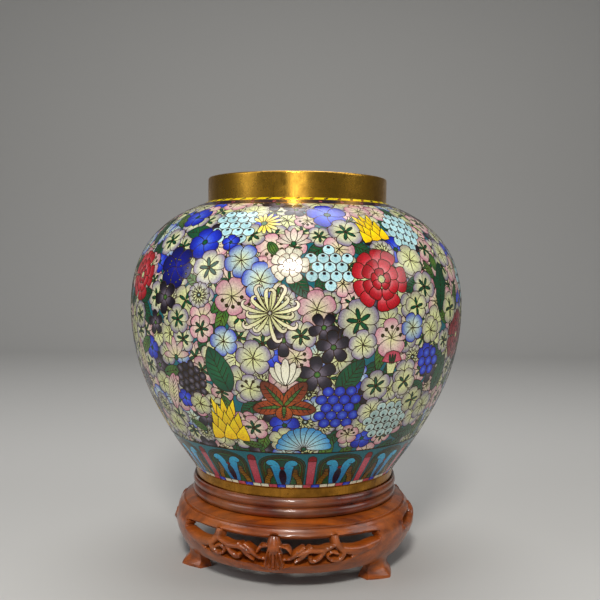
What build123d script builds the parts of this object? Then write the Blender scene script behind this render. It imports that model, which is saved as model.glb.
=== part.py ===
"""Cloisonne vase on its carved three-legged hardwood stand, in millimetres, +Z up.

The origin is on the ground under the middle of the stand. The front of the stand's first
carved panel faces -Y, turned by PANEL_TURN about the vertical axis.

The vase is built the way such a vase is made: two spun copper bowls brazed together at the
belly, a brass foot ring and a brass collar soldered on, a copper base plate, ring wires that
fence the enamel, and glass enamel fused outside, inside and under the base.
The stand is turned and carved: a beaded seat ring with a panel let into it, three pierced
apron segments, three cabriole legs between them, and the pegs that hold them together.
"""

from build123d import *
import os
from math import cos, radians, sin

# ------------------------------------------------------------------ driving dimensions
TOTAL_HEIGHT = 230.0
BELLY_RADIUS = 100.0
BELLY_HEIGHT = 149.5
SEAT_HEIGHT = 49.0  # the plane of the stand on which the foot ring rests

ENAMEL_THICKNESS = 1.0
COPPER_THICKNESS = 1.2
LINING_THICKNESS = 0.6

COLLAR_RADIUS = 54.3
COLLAR_WALL = 2.5
COLLAR_BOTTOM = 212.2
FOOT_RADIUS = 60.4
FOOT_WALL = 2.6
FOOT_TOP = 56.0
BASE_ENAMEL_THICKNESS = 0.8
RING_WIRE = 0.6  # width of the wires that fence one enamel band from the next

ROPE_BAND_RADIUS = 57.2  # outer edge of the yellow band round the collar
NECK_BAND_RADIUS = 62.6  # outer edge of the dark band round that
LAPPET_TOP = 79.0  # top of the band of hanging lappets round the foot

# The outside of the enamelled wall, as radius and height, from below the foot wire to the
# collar.
WALL = [
    (56.9, 50.0),
    (77.9, 81.0),
    (92.5, 111.0),
    (BELLY_RADIUS, BELLY_HEIGHT),
    (98.2, 171.0),
    (89.6, 191.0),
    (73.8, 206.0),
    (COLLAR_RADIUS, 215.4),
]
WALL_START = (0.60, 0.80)
WALL_END = (-0.93, 0.36)
WALL_SAMPLES = 16

PANELS = 3
PANEL_TURN = -8.5
SEGMENT_ANGLE = 360 / PANELS
LEG_ANGLE = 17.0
APRON_ANGLE = SEGMENT_ANGLE - LEG_ANGLE

RIM_TOP = 51.0
RING_BOTTOM = 39.0
RING_INNER = 46.0
REBATE_RADIUS = 60.8
BEAD_RADIUS = 3.1
BEAD_CENTRES = [(59.3, 47.7), (59.3, 42.1)]
PANEL_RADIUS = 53.0
PANEL_THICKNESS = 4.0
APRON_BOTTOM = 11.0
APRON_INNER_TOP = 52.0

# Outside of the shoulder and apron: start, middle and end of its two arcs.
SHOULDER_ARC = [(59.0, RING_BOTTOM), (68.8, 34.7), (72.8, 28.0)]
APRON_ARC = [(72.8, 28.0), (71.6, 19.0), (67.4, APRON_BOTTOM)]
# Inside of the same wall, from the lower edge up to the underside of the shoulder.
APRON_IN = [
    (60.2, APRON_BOTTOM),
    (64.2, 19.5),
    (65.2, 27.0),
    (61.5, 33.0),
    (APRON_INNER_TOP, 34.0),
    (APRON_INNER_TOP, RING_BOTTOM),
]

PEG_RADIUS = 1.6
PEG_DEPTH = 5.0
PEG_HEIGHT = 35.6
PEG_RING_RADIUS = 57.0
SEAT_PEG_RADIUS = 2.0
SEAT_PEG_RING = 55.6
SEAT_PEG_LOW = 35.4
SEAT_PEG_HIGH = 43.0

FOOT_SECTIONS = [  # height, inner radius, outer radius, width
    (13.5, 60.6, 67.8, 19.0),
    (7.0, 58.6, 66.6, 16.0),
    (0.0, 57.0, 71.0, 23.0),
]
TOE_POINT = 2.6  # how far the toe's outer edge comes to a point

os.makedirs("parts", exist_ok=True)


def save(part, name):
    """Writes one finished piece under its node name."""
    part.label = name
    export_step(part, f"parts/{name}.step")


# ------------------------------------------------------------------ sections of the vase
def wall_curve(inset):
    """The wall's outline moved inwards by inset, as points and end directions."""
    outline = Edge.make_spline(
        [Vector(r, 0, z) for r, z in WALL],
        tangents=[
            Vector(WALL_START[0], 0, WALL_START[1]),
            Vector(WALL_END[0], 0, WALL_END[1]),
        ],
    )
    moved = []
    for i in range(WALL_SAMPLES + 1):
        share = i / WALL_SAMPLES
        place = outline.position_at(share)
        along = outline.tangent_at(share)
        moved.append((place.X - inset * along.Z, place.Z + inset * along.X))
    return moved


def inside_of(inset):
    """The flat region between the axis and the wall's outline moved inwards by inset."""
    points = wall_curve(inset)
    with BuildSketch(mode=Mode.PRIVATE) as region:
        with BuildLine():
            Spline(*points, tangents=[WALL_START, WALL_END])
            Polyline(points[-1], (0, points[-1][1]), (0, points[0][1]), points[0])
        make_face()
    return region.sketch


OUTSIDE = inside_of(0)
COPPER_OUT = inside_of(ENAMEL_THICKNESS)
COPPER_IN = inside_of(ENAMEL_THICKNESS + COPPER_THICKNESS)
LINING_IN = inside_of(ENAMEL_THICKNESS + COPPER_THICKNESS + LINING_THICKNESS)


def window(r_low, r_high, z_low, z_high):
    """A rectangle of the section plane, given by its limits."""
    with BuildSketch(mode=Mode.PRIVATE) as frame:
        with Locations(((r_low + r_high) / 2, (z_low + z_high) / 2)):
            Rectangle(r_high - r_low, z_high - z_low)
    return frame.sketch


def turned(outer, inner, keep, name, cuts=()):
    """Turns the region between two outlines, inside one window and less any cuts."""
    with BuildPart() as piece:
        with BuildSketch(Plane.XZ) as section:
            add(outer)
            add(inner, mode=Mode.SUBTRACT)
            add(keep, mode=Mode.INTERSECT)
            for cut in cuts:
                add(cut, mode=Mode.SUBTRACT)
        revolve(axis=Axis.Z)
    save(piece.part, name)


FAR = 240.0  # beyond every part of the vase
HOLE = window(-1, COLLAR_RADIUS, BELLY_HEIGHT, FAR)

# ------------------------------------------------------------------ copper body
turned(
    COPPER_OUT,
    COPPER_IN,
    window(0, FAR, FOOT_TOP, BELLY_HEIGHT),
    "copper_lower_bowl",
)
turned(
    COPPER_OUT,
    COPPER_IN,
    window(0, FAR, BELLY_HEIGHT, FAR),
    "copper_upper_bowl",
    [HOLE],
)

with BuildPart() as base_plate:
    with BuildSketch(Plane.XZ):
        add(COPPER_IN)
        add(window(0, FAR, FOOT_TOP, FOOT_TOP + COPPER_THICKNESS), mode=Mode.INTERSECT)
    revolve(axis=Axis.Z)
save(base_plate.part, "copper_base_plate")

# ------------------------------------------------------------------ brass collar and foot
with BuildPart() as collar:
    with BuildSketch(Plane.XZ) as collar_section:
        add(
            window(
                COLLAR_RADIUS - COLLAR_WALL, COLLAR_RADIUS, COLLAR_BOTTOM, TOTAL_HEIGHT
            )
        )
        top_corners = collar_section.vertices().group_by(Axis.Z)[-1]
        fillet(top_corners, radius=1.0)
    revolve(axis=Axis.Z)
save(collar.part, "brass_collar")

with BuildPart() as foot_ring:
    with BuildSketch(Plane.XZ) as foot_section:
        add(window(FOOT_RADIUS - FOOT_WALL, FOOT_RADIUS, SEAT_HEIGHT, FOOT_TOP))
        chamfer(foot_section.vertices().group_by(Axis.Z)[0], length=0.5)
    revolve(axis=Axis.Z)
save(foot_ring.part, "brass_foot_ring")

# ------------------------------------------------------------------ enamel and its wires
with BuildPart() as base_enamel:
    with BuildSketch(Plane.XY.offset(FOOT_TOP - BASE_ENAMEL_THICKNESS)):
        Circle(FOOT_RADIUS - FOOT_WALL)
    extrude(amount=BASE_ENAMEL_THICKNESS)
save(base_enamel.part, "enamel_under_base")

LINING_FLOOR = FOOT_TOP + COPPER_THICKNESS + LINING_THICKNESS
with BuildSketch(mode=Mode.PRIVATE) as hollow:
    add(LINING_IN)
    add(window(0, FAR, LINING_FLOOR, FAR), mode=Mode.INTERSECT)
HOLLOW = hollow.sketch

with BuildPart() as lining:
    with BuildSketch(Plane.XZ):
        add(COPPER_IN)
        add(
            window(0, FAR, FOOT_TOP + COPPER_THICKNESS, FAR),
            mode=Mode.INTERSECT,
        )
        add(HOLLOW, mode=Mode.SUBTRACT)
        add(HOLE, mode=Mode.SUBTRACT)
    revolve(axis=Axis.Z)
save(lining.part, "enamel_lining")

rope_edge = ROPE_BAND_RADIUS + RING_WIRE
neck_edge = NECK_BAND_RADIUS + RING_WIRE
lappet_edge = LAPPET_TOP + RING_WIRE
foot_edge = FOOT_TOP + RING_WIRE
ENAMEL_BANDS = {
    "enamel_rope_band": window(COLLAR_RADIUS, ROPE_BAND_RADIUS, BELLY_HEIGHT, FAR),
    "wire_ring_rope": window(ROPE_BAND_RADIUS, rope_edge, BELLY_HEIGHT, FAR),
    "enamel_neck_band": window(rope_edge, NECK_BAND_RADIUS, BELLY_HEIGHT, FAR),
    "wire_ring_neck": window(NECK_BAND_RADIUS, neck_edge, BELLY_HEIGHT, FAR),
    "wire_ring_lappets": window(0, FAR, LAPPET_TOP, lappet_edge),
    "enamel_lappet_band": window(0, FAR, foot_edge, LAPPET_TOP),
    "wire_ring_foot": window(0, FAR, FOOT_TOP, foot_edge),
}
for band_name, band_window in ENAMEL_BANDS.items():
    turned(OUTSIDE, COPPER_OUT, band_window, band_name)

turned(
    OUTSIDE,
    COPPER_OUT,
    window(0, FAR, lappet_edge, FAR),
    "enamel_flower_field",
    [window(-1, neck_edge, BELLY_HEIGHT, FAR)],
)

# ------------------------------------------------------------------ the stand's seat
with BuildPart() as seat_ring:
    with BuildSketch(Plane.XZ):
        add(window(RING_INNER, BEAD_CENTRES[0][0], RING_BOTTOM, SEAT_HEIGHT))
        add(window(REBATE_RADIUS, REBATE_RADIUS + 0.8, SEAT_HEIGHT - 2, RIM_TOP - 0.4))
        with Locations(*BEAD_CENTRES):
            Circle(BEAD_RADIUS)
        add(window(0, REBATE_RADIUS, SEAT_HEIGHT, RIM_TOP + 1), mode=Mode.SUBTRACT)
        panel_top = RING_BOTTOM + PANEL_THICKNESS
        add(window(0, PANEL_RADIUS, RING_BOTTOM, panel_top), mode=Mode.SUBTRACT)
    revolve(axis=Axis.Z)
    with BuildSketch(Plane.XY.offset(RING_BOTTOM)):
        with PolarLocations(SEAT_PEG_RING, PANELS, start_angle=PANEL_TURN - 90):
            Circle(SEAT_PEG_RADIUS)
    extrude(amount=SEAT_PEG_HIGH - RING_BOTTOM, mode=Mode.SUBTRACT)
save(seat_ring.part, "stand_seat_ring")

with BuildPart() as seat_panel:
    with BuildSketch(Plane.XY.offset(RING_BOTTOM)):
        Circle(PANEL_RADIUS)
    extrude(amount=PANEL_THICKNESS)
save(seat_panel.part, "stand_seat_panel")


# ------------------------------------------------------------------ the stand's apron
def around(angle):
    """The direction of a bearing about the vertical axis, measured from the front, -Y."""
    return Vector(sin(radians(angle)), -cos(radians(angle)), 0)


def upright(bearing):
    """The vertical section plane through the axis at a bearing, with x outwards."""
    outwards = around(bearing)
    return Plane(
        origin=(0, 0, 0), x_dir=outwards, z_dir=outwards.cross(Vector(0, 0, 1))
    )


# The closed section of the shoulder and apron wall.
with BuildSketch(mode=Mode.PRIVATE) as apron_section:
    with BuildLine():
        ThreePointArc(*SHOULDER_ARC)
        ThreePointArc(*APRON_ARC)
        Polyline(APRON_ARC[-1], *APRON_IN, SHOULDER_ARC[0])
    make_face()
APRON_SECTION = apron_section.sketch


# Openings of one half panel: bearing from the panel's middle in degrees, and height.
TOP_OPENING_OUTER = [
    (30.4, 29.2),
    (38.0, 29.8),
    (46.4, 29.4),
    (48.8, 27.4),
    (46.0, 26.0),
    (38.0, 26.8),
]
TOP_OPENING_INNER = [
    (3.0, 29.4),
    (13.0, 29.8),
    (24.6, 29.4),
    (20.6, 26.2),
    (13.0, 24.6),
    (6.4, 26.2),
]
LOW_OPENING = [
    (5.6, 18.4),
    (14.0, 17.6),
    (23.0, 18.6),
    (25.6, 21.4),
    (18.0, 20.6),
    (10.0, 21.6),
]
CUT_FROM = 56.0
CUT_TO = 78.0
CUT_RADIUS = 70.0


def cutter(outline, middle, side):
    """The block that cuts one opening, square to the wall at the opening's middle."""
    bearings = [angle for angle, _ in outline]
    own = (min(bearings) + max(bearings)) / 2
    outwards = around(middle + side * own)
    face_plane = Plane(
        origin=outwards * CUT_FROM,
        x_dir=Vector(0, 0, 1).cross(outwards),
        z_dir=outwards,
    )
    points = [
        (side * CUT_RADIUS * sin(radians(angle - own)), height)
        for angle, height in outline
    ]
    with BuildPart(mode=Mode.PRIVATE) as block:
        with BuildSketch(face_plane):
            with BuildLine():
                Polyline(*points, close=True)
            make_face()
        extrude(amount=CUT_TO - CUT_FROM)
    return block.part


def peg_line(bearing):
    """The plane square to a horizontal peg that crosses the seam at a bearing."""
    outwards = around(bearing)
    sideways = Vector(0, 0, 1).cross(outwards)
    origin = outwards * PEG_RING_RADIUS + Vector(0, 0, PEG_HEIGHT)
    return Plane(origin=origin, x_dir=outwards, z_dir=sideways)


def seam_peg(bearing):
    """The horizontal peg across the seam at a bearing."""
    with BuildPart(mode=Mode.PRIVATE) as peg:
        with BuildSketch(peg_line(bearing)):
            Circle(PEG_RADIUS)
        extrude(amount=PEG_DEPTH, both=True)
    return peg.part


def seat_peg(bearing):
    """The upright peg that holds the seat ring down on an apron."""
    place = around(bearing) * SEAT_PEG_RING
    with BuildPart(mode=Mode.PRIVATE) as peg:
        with BuildSketch(Plane.XY.offset(SEAT_PEG_LOW)):
            with Locations((place.X, place.Y)):
                Circle(SEAT_PEG_RADIUS)
        extrude(amount=SEAT_PEG_HIGH - SEAT_PEG_LOW)
    return peg.part


PANEL_NAMES = ["front", "right", "left"]
LEG_NAMES = ["right", "rear", "left"]
middles = [PANEL_TURN + i * SEGMENT_ANGLE for i in range(PANELS)]
leg_bearings = [middle + SEGMENT_ANGLE / 2 for middle in middles]
seams = [
    bearing + side * LEG_ANGLE / 2 for bearing in leg_bearings for side in (-1, 1)
]

for panel_name, middle in zip(PANEL_NAMES, middles):
    with BuildPart() as apron:
        with BuildSketch(upright(middle - APRON_ANGLE / 2)):
            add(APRON_SECTION)
        revolve(axis=Axis.Z, revolution_arc=APRON_ANGLE)
        for side in (-1, 1):
            for outline in (TOP_OPENING_OUTER, TOP_OPENING_INNER, LOW_OPENING):
                add(cutter(outline, middle, side), mode=Mode.SUBTRACT)
            add(seam_peg(middle + side * APRON_ANGLE / 2), mode=Mode.SUBTRACT)
        add(seat_peg(middle), mode=Mode.SUBTRACT)
    save(apron.part, f"stand_apron_{panel_name}")


# ------------------------------------------------------------------ the stand's legs
def foot_outline(inner, outer, width):
    """One level of a foot: a spade whose outer edge comes to a blunt point."""
    half = width / 2
    with BuildSketch(mode=Mode.PRIVATE) as spade:
        with BuildLine():
            Polyline(
                (inner, -half * 0.8),
                (outer - TOE_POINT, -half),
                (outer, 0),
                (outer - TOE_POINT, half),
                (inner, half * 0.8),
                close=True,
            )
        make_face()
    return spade.sketch


for leg_name, bearing in zip(LEG_NAMES, leg_bearings):
    with BuildPart() as leg:
        with BuildSketch(upright(bearing - LEG_ANGLE / 2)):
            add(APRON_SECTION)
        revolve(axis=Axis.Z, revolution_arc=LEG_ANGLE)
        for height, inner, outer, width in FOOT_SECTIONS:
            level = Plane(
                origin=(0, 0, height), x_dir=around(bearing), z_dir=(0, 0, 1)
            )
            with BuildSketch(level):
                add(foot_outline(inner, outer, width))
        loft()
        for side in (-1, 1):
            add(seam_peg(bearing + side * LEG_ANGLE / 2), mode=Mode.SUBTRACT)
    save(leg.part, f"stand_leg_{leg_name}")

# ------------------------------------------------------------------ the stand's pegs
with BuildPart() as seam_pegs:
    for seam in seams:
        add(seam_peg(seam))
save(seam_pegs.part, "stand_seam_pegs")

with BuildPart() as seat_pegs:
    for middle in middles:
        add(seat_peg(middle))
save(seat_pegs.part, "stand_seat_pegs")
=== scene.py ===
# %% [markdown]
# # A cloisonne vase on its carved stand
# The vase is a copper jar covered with cells of coloured glass. Each cell is fenced by a thin
# metal wire, so the picture on it is a mosaic of small shapes with a bright line round each.
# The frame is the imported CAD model. It gives the copper body, the brass collar and foot and
# the turned parts of the stand their exact places, and this script adds what a maker does
# last: the flowers in the enamel, the wires between them, and the carving of the stand.

# %% Load the frame
from collections import namedtuple

import bpy
import numpy as np
from mathutils import Matrix, Vector
from mathutils.bvhtree import BVHTree
from mathutils.geometry import delaunay_2d_cdt


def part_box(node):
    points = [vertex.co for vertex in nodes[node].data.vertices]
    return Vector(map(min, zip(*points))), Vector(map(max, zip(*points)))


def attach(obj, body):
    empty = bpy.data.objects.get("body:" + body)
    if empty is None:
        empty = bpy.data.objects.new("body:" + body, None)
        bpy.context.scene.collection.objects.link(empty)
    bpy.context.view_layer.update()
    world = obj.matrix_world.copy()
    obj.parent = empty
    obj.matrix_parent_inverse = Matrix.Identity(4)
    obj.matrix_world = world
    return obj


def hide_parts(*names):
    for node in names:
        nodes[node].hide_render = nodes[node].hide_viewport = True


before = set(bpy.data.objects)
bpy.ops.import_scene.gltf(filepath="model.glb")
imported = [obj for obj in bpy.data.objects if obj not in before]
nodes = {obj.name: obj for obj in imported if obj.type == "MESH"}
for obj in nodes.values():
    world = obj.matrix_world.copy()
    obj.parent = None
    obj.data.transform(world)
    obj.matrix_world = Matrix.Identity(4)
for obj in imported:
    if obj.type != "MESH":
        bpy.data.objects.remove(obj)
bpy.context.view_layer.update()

MM = 0.001

# %% [markdown]
# ## Working on a curved wall as if it were flat
# An enameller draws on paper and carries the drawing over to the pot. Here the paper is a
# strip with u across, measured round the belly, and s up, measured along the wall. The wall's
# outline comes from the CAD enamel itself: its outermost points, seen from the middle of the
# belly, are smoothed with one polynomial of the angle.


# %% The wall's outline
def cad_points(*names):
    """All vertices of some CAD nodes, in millimetres, as one array."""
    found = []
    for name in names:
        mesh = nodes[name].data
        flat = np.zeros(len(mesh.vertices) * 3)
        mesh.vertices.foreach_get("co", flat)
        found.append(flat.reshape(-1, 3) / MM)
    return np.concatenate(found)


BANDS = ["enamel_lappet_band", "enamel_flower_field", "enamel_neck_band", "enamel_rope_band"]
wall = cad_points(*BANDS, "wire_ring_foot", "wire_ring_lappets", "wire_ring_neck")
wall_radius = np.hypot(wall[:, 0], wall[:, 1])
BELLY = wall_radius.max()
belly_height = wall[wall_radius.argmax(), 2]
wall_angle = np.arctan2(wall[:, 2] - belly_height, wall_radius)
wall_reach = np.hypot(wall[:, 2] - belly_height, wall_radius)

STEPS = 90
DEGREE = 10
TABLE_ROWS = 3000
step = np.clip(
    ((wall_angle - wall_angle.min()) / np.ptp(wall_angle) * STEPS).astype(int), 0, STEPS - 1
)
outer = np.array([
    np.flatnonzero(step == i)[wall_reach[step == i].argmax()]
    for i in range(STEPS)
    if (step == i).any()
])
smooth_reach = np.polynomial.Polynomial.fit(wall_angle[outer], wall_reach[outer], DEGREE)
angle = np.linspace(wall_angle.min(), wall_angle.max(), TABLE_ROWS)
table_r = smooth_reach(angle) * np.cos(angle)
table_z = smooth_reach(angle) * np.sin(angle) + belly_height
table_s = np.concatenate([[0], np.cumsum(np.hypot(np.diff(table_r), np.diff(table_z)))])
slope_r = np.gradient(table_r, table_s)
slope_z = np.gradient(table_z, table_s)
print("belly radius", round(BELLY, 2), "wall length", round(table_s[-1], 1), "mm")


# %% From the flat strip to the wall
def radius_at(s):
    """The wall's radius at a distance s along it."""
    return np.interp(s, table_s, table_r)


def s_at_height(z):
    """The distance along the wall at a height above the ground."""
    return float(np.interp(z, table_z, table_s))


def s_at_radius(r):
    """The distance along the wall where its upper part has a radius."""
    upper = table_s > s_at_height(belly_height)
    return float(np.interp(-r, -table_r[upper], table_s[upper]))


def on_wall(u, s, lift=0.0):
    """Points of the wall: bearing u / BELLY from the front, and lift along the outward normal,
    which is the outline's direction turned by a right angle."""
    bearing = u / BELLY
    out_r = np.interp(s, table_s, slope_z)
    out_z = -np.interp(s, table_s, slope_r)
    r = radius_at(s) + lift * out_r
    z = np.interp(s, table_s, table_z) + lift * out_z
    return np.stack([r * np.sin(bearing), -r * np.cos(bearing), z], -1) * MM


def wall_normal(u, s):
    """Outward unit normals of the wall."""
    out_r = np.interp(s, table_s, slope_z)
    out_z = -np.interp(s, table_s, slope_r)
    outward = np.stack([np.sin(u / BELLY) * out_r, -np.cos(u / BELLY) * out_r, out_z], -1)
    return outward / np.hypot(out_r, out_z)[:, None]


# %% [markdown]
# ## Putting arrays into meshes
# Every new piece ends here: its points and faces are already arrays, so from_pydata takes
# them as they are. A piece rides on its CAD body, and hides the CAD node that it stands for.


# %% Make a piece
def piece(name, points, faces, body, slot, material, stands_for=()):
    """A mesh object from arrays, riding on a body, with one material."""
    mesh = bpy.data.meshes.new(name)
    mesh.from_pydata(points.tolist(), [], faces if isinstance(faces, list) else faces.tolist())
    mesh.update()
    mesh.shade_smooth()
    thing = bpy.data.objects.new(name, mesh)
    bpy.context.scene.collection.objects.link(thing)
    mesh.materials.append(material)
    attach(thing, body)
    if stands_for:
        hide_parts(*stands_for)
    print(name, len(mesh.vertices), "points", len(mesh.polygons), "faces")
    return thing


# %% [markdown]
# ## Finishes
# The materials share three effects, each a node group: a fine mottle of lighter and darker
# grains as in ground glass, the long figure of wood, and the film of dust and handling that
# makes every gloss a little uneven, with painted reflection streaks on the metal. The groups
# give colours, factors and heights only; the shader itself stays in each material.


# %% Node group helpers
EFFECT_OUTPUTS = [
    ("Colour", "NodeSocketColor"),
    ("Roughness", "NodeSocketFloat"),
    ("Height", "NodeSocketFloat"),
]


def new_group(name, inputs):
    """A shader node group with its own inputs and the three outputs that every effect has."""
    group = bpy.data.node_groups.new(name, "ShaderNodeTree")
    for label, kind, value in inputs:
        socket = group.interface.new_socket(label, in_out="INPUT", socket_type=kind)
        if value is not None:
            socket.default_value = value
    for label, kind in EFFECT_OUTPUTS:
        group.interface.new_socket(label, in_out="OUTPUT", socket_type=kind)
    start = group.nodes.new("NodeGroupInput")
    end = group.nodes.new("NodeGroupOutput")
    return group, start, end


def add_node(tree, kind, **settings):
    """A node with some of its properties and unlinked inputs set."""
    made = tree.nodes.new(kind)
    for key, value in settings.items():
        if key in made.inputs:
            made.inputs[key].default_value = value
        else:
            setattr(made, key, value)
    return made


def math_node(tree, operation, first, second=None, clamp=False):
    """A Math node on two sockets or numbers; returns its output."""
    made = tree.nodes.new("ShaderNodeMath")
    made.operation = operation
    made.use_clamp = clamp
    for i, value in enumerate((first, second)):
        if value is None:
            continue
        if isinstance(value, (int, float)):
            made.inputs[i].default_value = value
        else:
            tree.links.new(value, made.inputs[i])
    return made.outputs[0]


def mix_colour(tree, factor, first, second, blend="MIX"):
    """A colour Mix node on sockets or colours; returns its output."""
    made = tree.nodes.new("ShaderNodeMix")
    made.data_type = "RGBA"
    made.blend_type = blend
    for i, value in ((0, factor), (6, first), (7, second)):
        if isinstance(value, (int, float)):
            made.inputs[i].default_value = value
        elif isinstance(value, tuple):
            made.inputs[i].default_value = (*value, 1.0)
        else:
            tree.links.new(value, made.inputs[i])
    return made.outputs[2]


def noise(tree, vector, scale, detail=3.0, roughness=0.55):
    """A noise texture's factor on a vector."""
    made = add_node(tree, "ShaderNodeTexNoise", Scale=scale, Detail=detail, Roughness=roughness)
    tree.links.new(vector, made.inputs["Vector"])
    return made.outputs["Fac"]


def remap(tree, value, low, high, to_low, to_high):
    """A clamped Map Range on a socket."""
    made = tree.nodes.new("ShaderNodeMapRange")
    tree.links.new(value, made.inputs[0])
    for i, number in enumerate((low, high, to_low, to_high)):
        made.inputs[i + 1].default_value = number
    return made.outputs[0]


# %% Ground glass: grains, clouds and pinholes
glass_grain, start, end = new_group(
    "ground glass",
    [
        ("Colour", "NodeSocketColor", None),
        ("Place", "NodeSocketVector", None),
        ("Grain", "NodeSocketFloat", 0.35),
    ],
)
place = start.outputs["Place"]
grains = noise(glass_grain, place, 1150.0, 2.0, 0.7)
clouds = noise(glass_grain, place, 210.0, 3.0)
light = remap(glass_grain, grains, 0.52, 0.72, 0.0, 0.55)
dark = remap(glass_grain, grains, 0.30, 0.46, 0.50, 0.0)
light = math_node(glass_grain, "MULTIPLY", light, start.outputs["Grain"])
dark = math_node(glass_grain, "MULTIPLY", dark, start.outputs["Grain"])
shade = remap(glass_grain, clouds, 0.35, 0.65, 0.0, 0.30)
colour = mix_colour(glass_grain, shade, start.outputs["Colour"], (0.30, 0.30, 0.26), "SOFT_LIGHT")
colour = mix_colour(glass_grain, light, colour, (0.95, 0.95, 0.86), "OVERLAY")
colour = mix_colour(glass_grain, dark, colour, (0.02, 0.025, 0.03))
pinholes = add_node(glass_grain, "ShaderNodeTexVoronoi", Scale=420.0)
glass_grain.links.new(place, pinholes.inputs["Vector"])
hole = remap(glass_grain, pinholes.outputs["Distance"], 0.06, 0.13, 1.0, 0.0)
rare = remap(glass_grain, noise(glass_grain, place, 60.0, 1.0), 0.56, 0.62, 0.0, 1.0)
hole = math_node(glass_grain, "MULTIPLY", hole, rare)
colour = mix_colour(glass_grain, hole, colour, (0.03, 0.025, 0.02))
glass_grain.links.new(colour, end.inputs["Colour"])
gloss = remap(glass_grain, clouds, 0.3, 0.7, 0.10, 0.24)
glass_grain.links.new(math_node(glass_grain, "ADD", gloss, hole, True), end.inputs["Roughness"])
swell = noise(glass_grain, place, 130.0, 2.0)
dent = math_node(glass_grain, "MULTIPLY", hole, -0.6)
glass_grain.links.new(math_node(glass_grain, "ADD", swell, dent), end.inputs["Height"])

# %% Wood figure: long streaks, rings and open pores
wood_figure, start, end = new_group(
    "wood figure",
    [
        ("Place", "NodeSocketVector", None),
        ("Dark", "NodeSocketColor", (0.05, 0.012, 0.005, 1)),
        ("Light", "NodeSocketColor", (0.32, 0.10, 0.03, 1)),
    ],
)
along = add_node(wood_figure, "ShaderNodeMapping", Scale=(1.0, 7.0, 9.0), Rotation=(0.05, 0.1, 0.3))
wood_figure.links.new(start.outputs["Place"], along.inputs["Vector"])
streaks = noise(wood_figure, along.outputs["Vector"], 26.0, 6.0, 0.6)
fibres = add_node(wood_figure, "ShaderNodeMapping", Scale=(1.0, 22.0, 30.0), Rotation=(0.05, 0.1, 0.3))
wood_figure.links.new(start.outputs["Place"], fibres.inputs["Vector"])
pores = noise(wood_figure, fibres.outputs["Vector"], 90.0, 2.0)
blotch = noise(wood_figure, start.outputs["Place"], 32.0, 3.0)
tone = remap(wood_figure, streaks, 0.34, 0.66, 0.0, 1.0)
colour = mix_colour(wood_figure, tone, start.outputs["Dark"], start.outputs["Light"])
worn = remap(wood_figure, blotch, 0.42, 0.70, 0.0, 0.45)
colour = mix_colour(wood_figure, worn, colour, (0.42, 0.13, 0.025))
pit = remap(wood_figure, pores, 0.60, 0.72, 0.0, 0.7)
colour = mix_colour(wood_figure, pit, colour, (0.018, 0.006, 0.004))
wood_figure.links.new(colour, end.inputs["Colour"])
wood_figure.links.new(remap(wood_figure, blotch, 0.3, 0.7, 0.24, 0.42), end.inputs["Roughness"])
wood_figure.links.new(math_node(wood_figure, "SUBTRACT", tone, pit), end.inputs["Height"])

# %% Handled metal: tarnish, finger film, and long upright lines that are bumps and also painted reflection streaks
metal_wear_and_painted_streaks, start, end = new_group(
    "handled metal with painted streaks",
    [
        ("Place", "NodeSocketVector", None),
        ("Bright", "NodeSocketColor", (0.80, 0.55, 0.17, 1)),
        ("Tarnish", "NodeSocketColor", (0.28, 0.16, 0.05, 1)),
    ],
)
patches = noise(metal_wear_and_painted_streaks, start.outputs["Place"], 55.0, 5.0, 0.65)
# Painted reflection streaks: noise stretched up and down and mixed toward the tarnish colour stands in for the
# bright and dark streaks that the metal reflects. The same lines also give a bump.
painted_streak_stretch = add_node(metal_wear_and_painted_streaks, "ShaderNodeMapping", Scale=(1.0, 1.0, 0.07))
metal_wear_and_painted_streaks.links.new(start.outputs["Place"], painted_streak_stretch.inputs["Vector"])
lines = noise(metal_wear_and_painted_streaks, painted_streak_stretch.outputs["Vector"], 640.0, 3.0, 0.6)
specks = noise(metal_wear_and_painted_streaks, start.outputs["Place"], 900.0, 2.0)
cover = remap(metal_wear_and_painted_streaks, patches, 0.44, 0.70, 0.0, 0.75)
spot = remap(metal_wear_and_painted_streaks, specks, 0.64, 0.72, 0.0, 0.8)
cover = math_node(metal_wear_and_painted_streaks, "MAXIMUM", cover, spot)
# The painted reflection streaks, which darken the colour in long upright stripes.
painted_reflection_streak = remap(metal_wear_and_painted_streaks, lines, 0.46, 0.70, 0.0, 0.42)
cover = math_node(metal_wear_and_painted_streaks, "MAXIMUM", cover, painted_reflection_streak)
colour = mix_colour(metal_wear_and_painted_streaks, cover, start.outputs["Bright"], start.outputs["Tarnish"])
metal_wear_and_painted_streaks.links.new(colour, end.inputs["Colour"])
gloss = remap(metal_wear_and_painted_streaks, patches, 0.35, 0.75, 0.16, 0.42)
metal_wear_and_painted_streaks.links.new(gloss, end.inputs["Roughness"])
grit = math_node(metal_wear_and_painted_streaks, "MULTIPLY", specks, 0.4)
metal_wear_and_painted_streaks.links.new(math_node(metal_wear_and_painted_streaks, "ADD", lines, grit), end.inputs["Height"])
print("effects:", ", ".join(group.name for group in bpy.data.node_groups))


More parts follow.
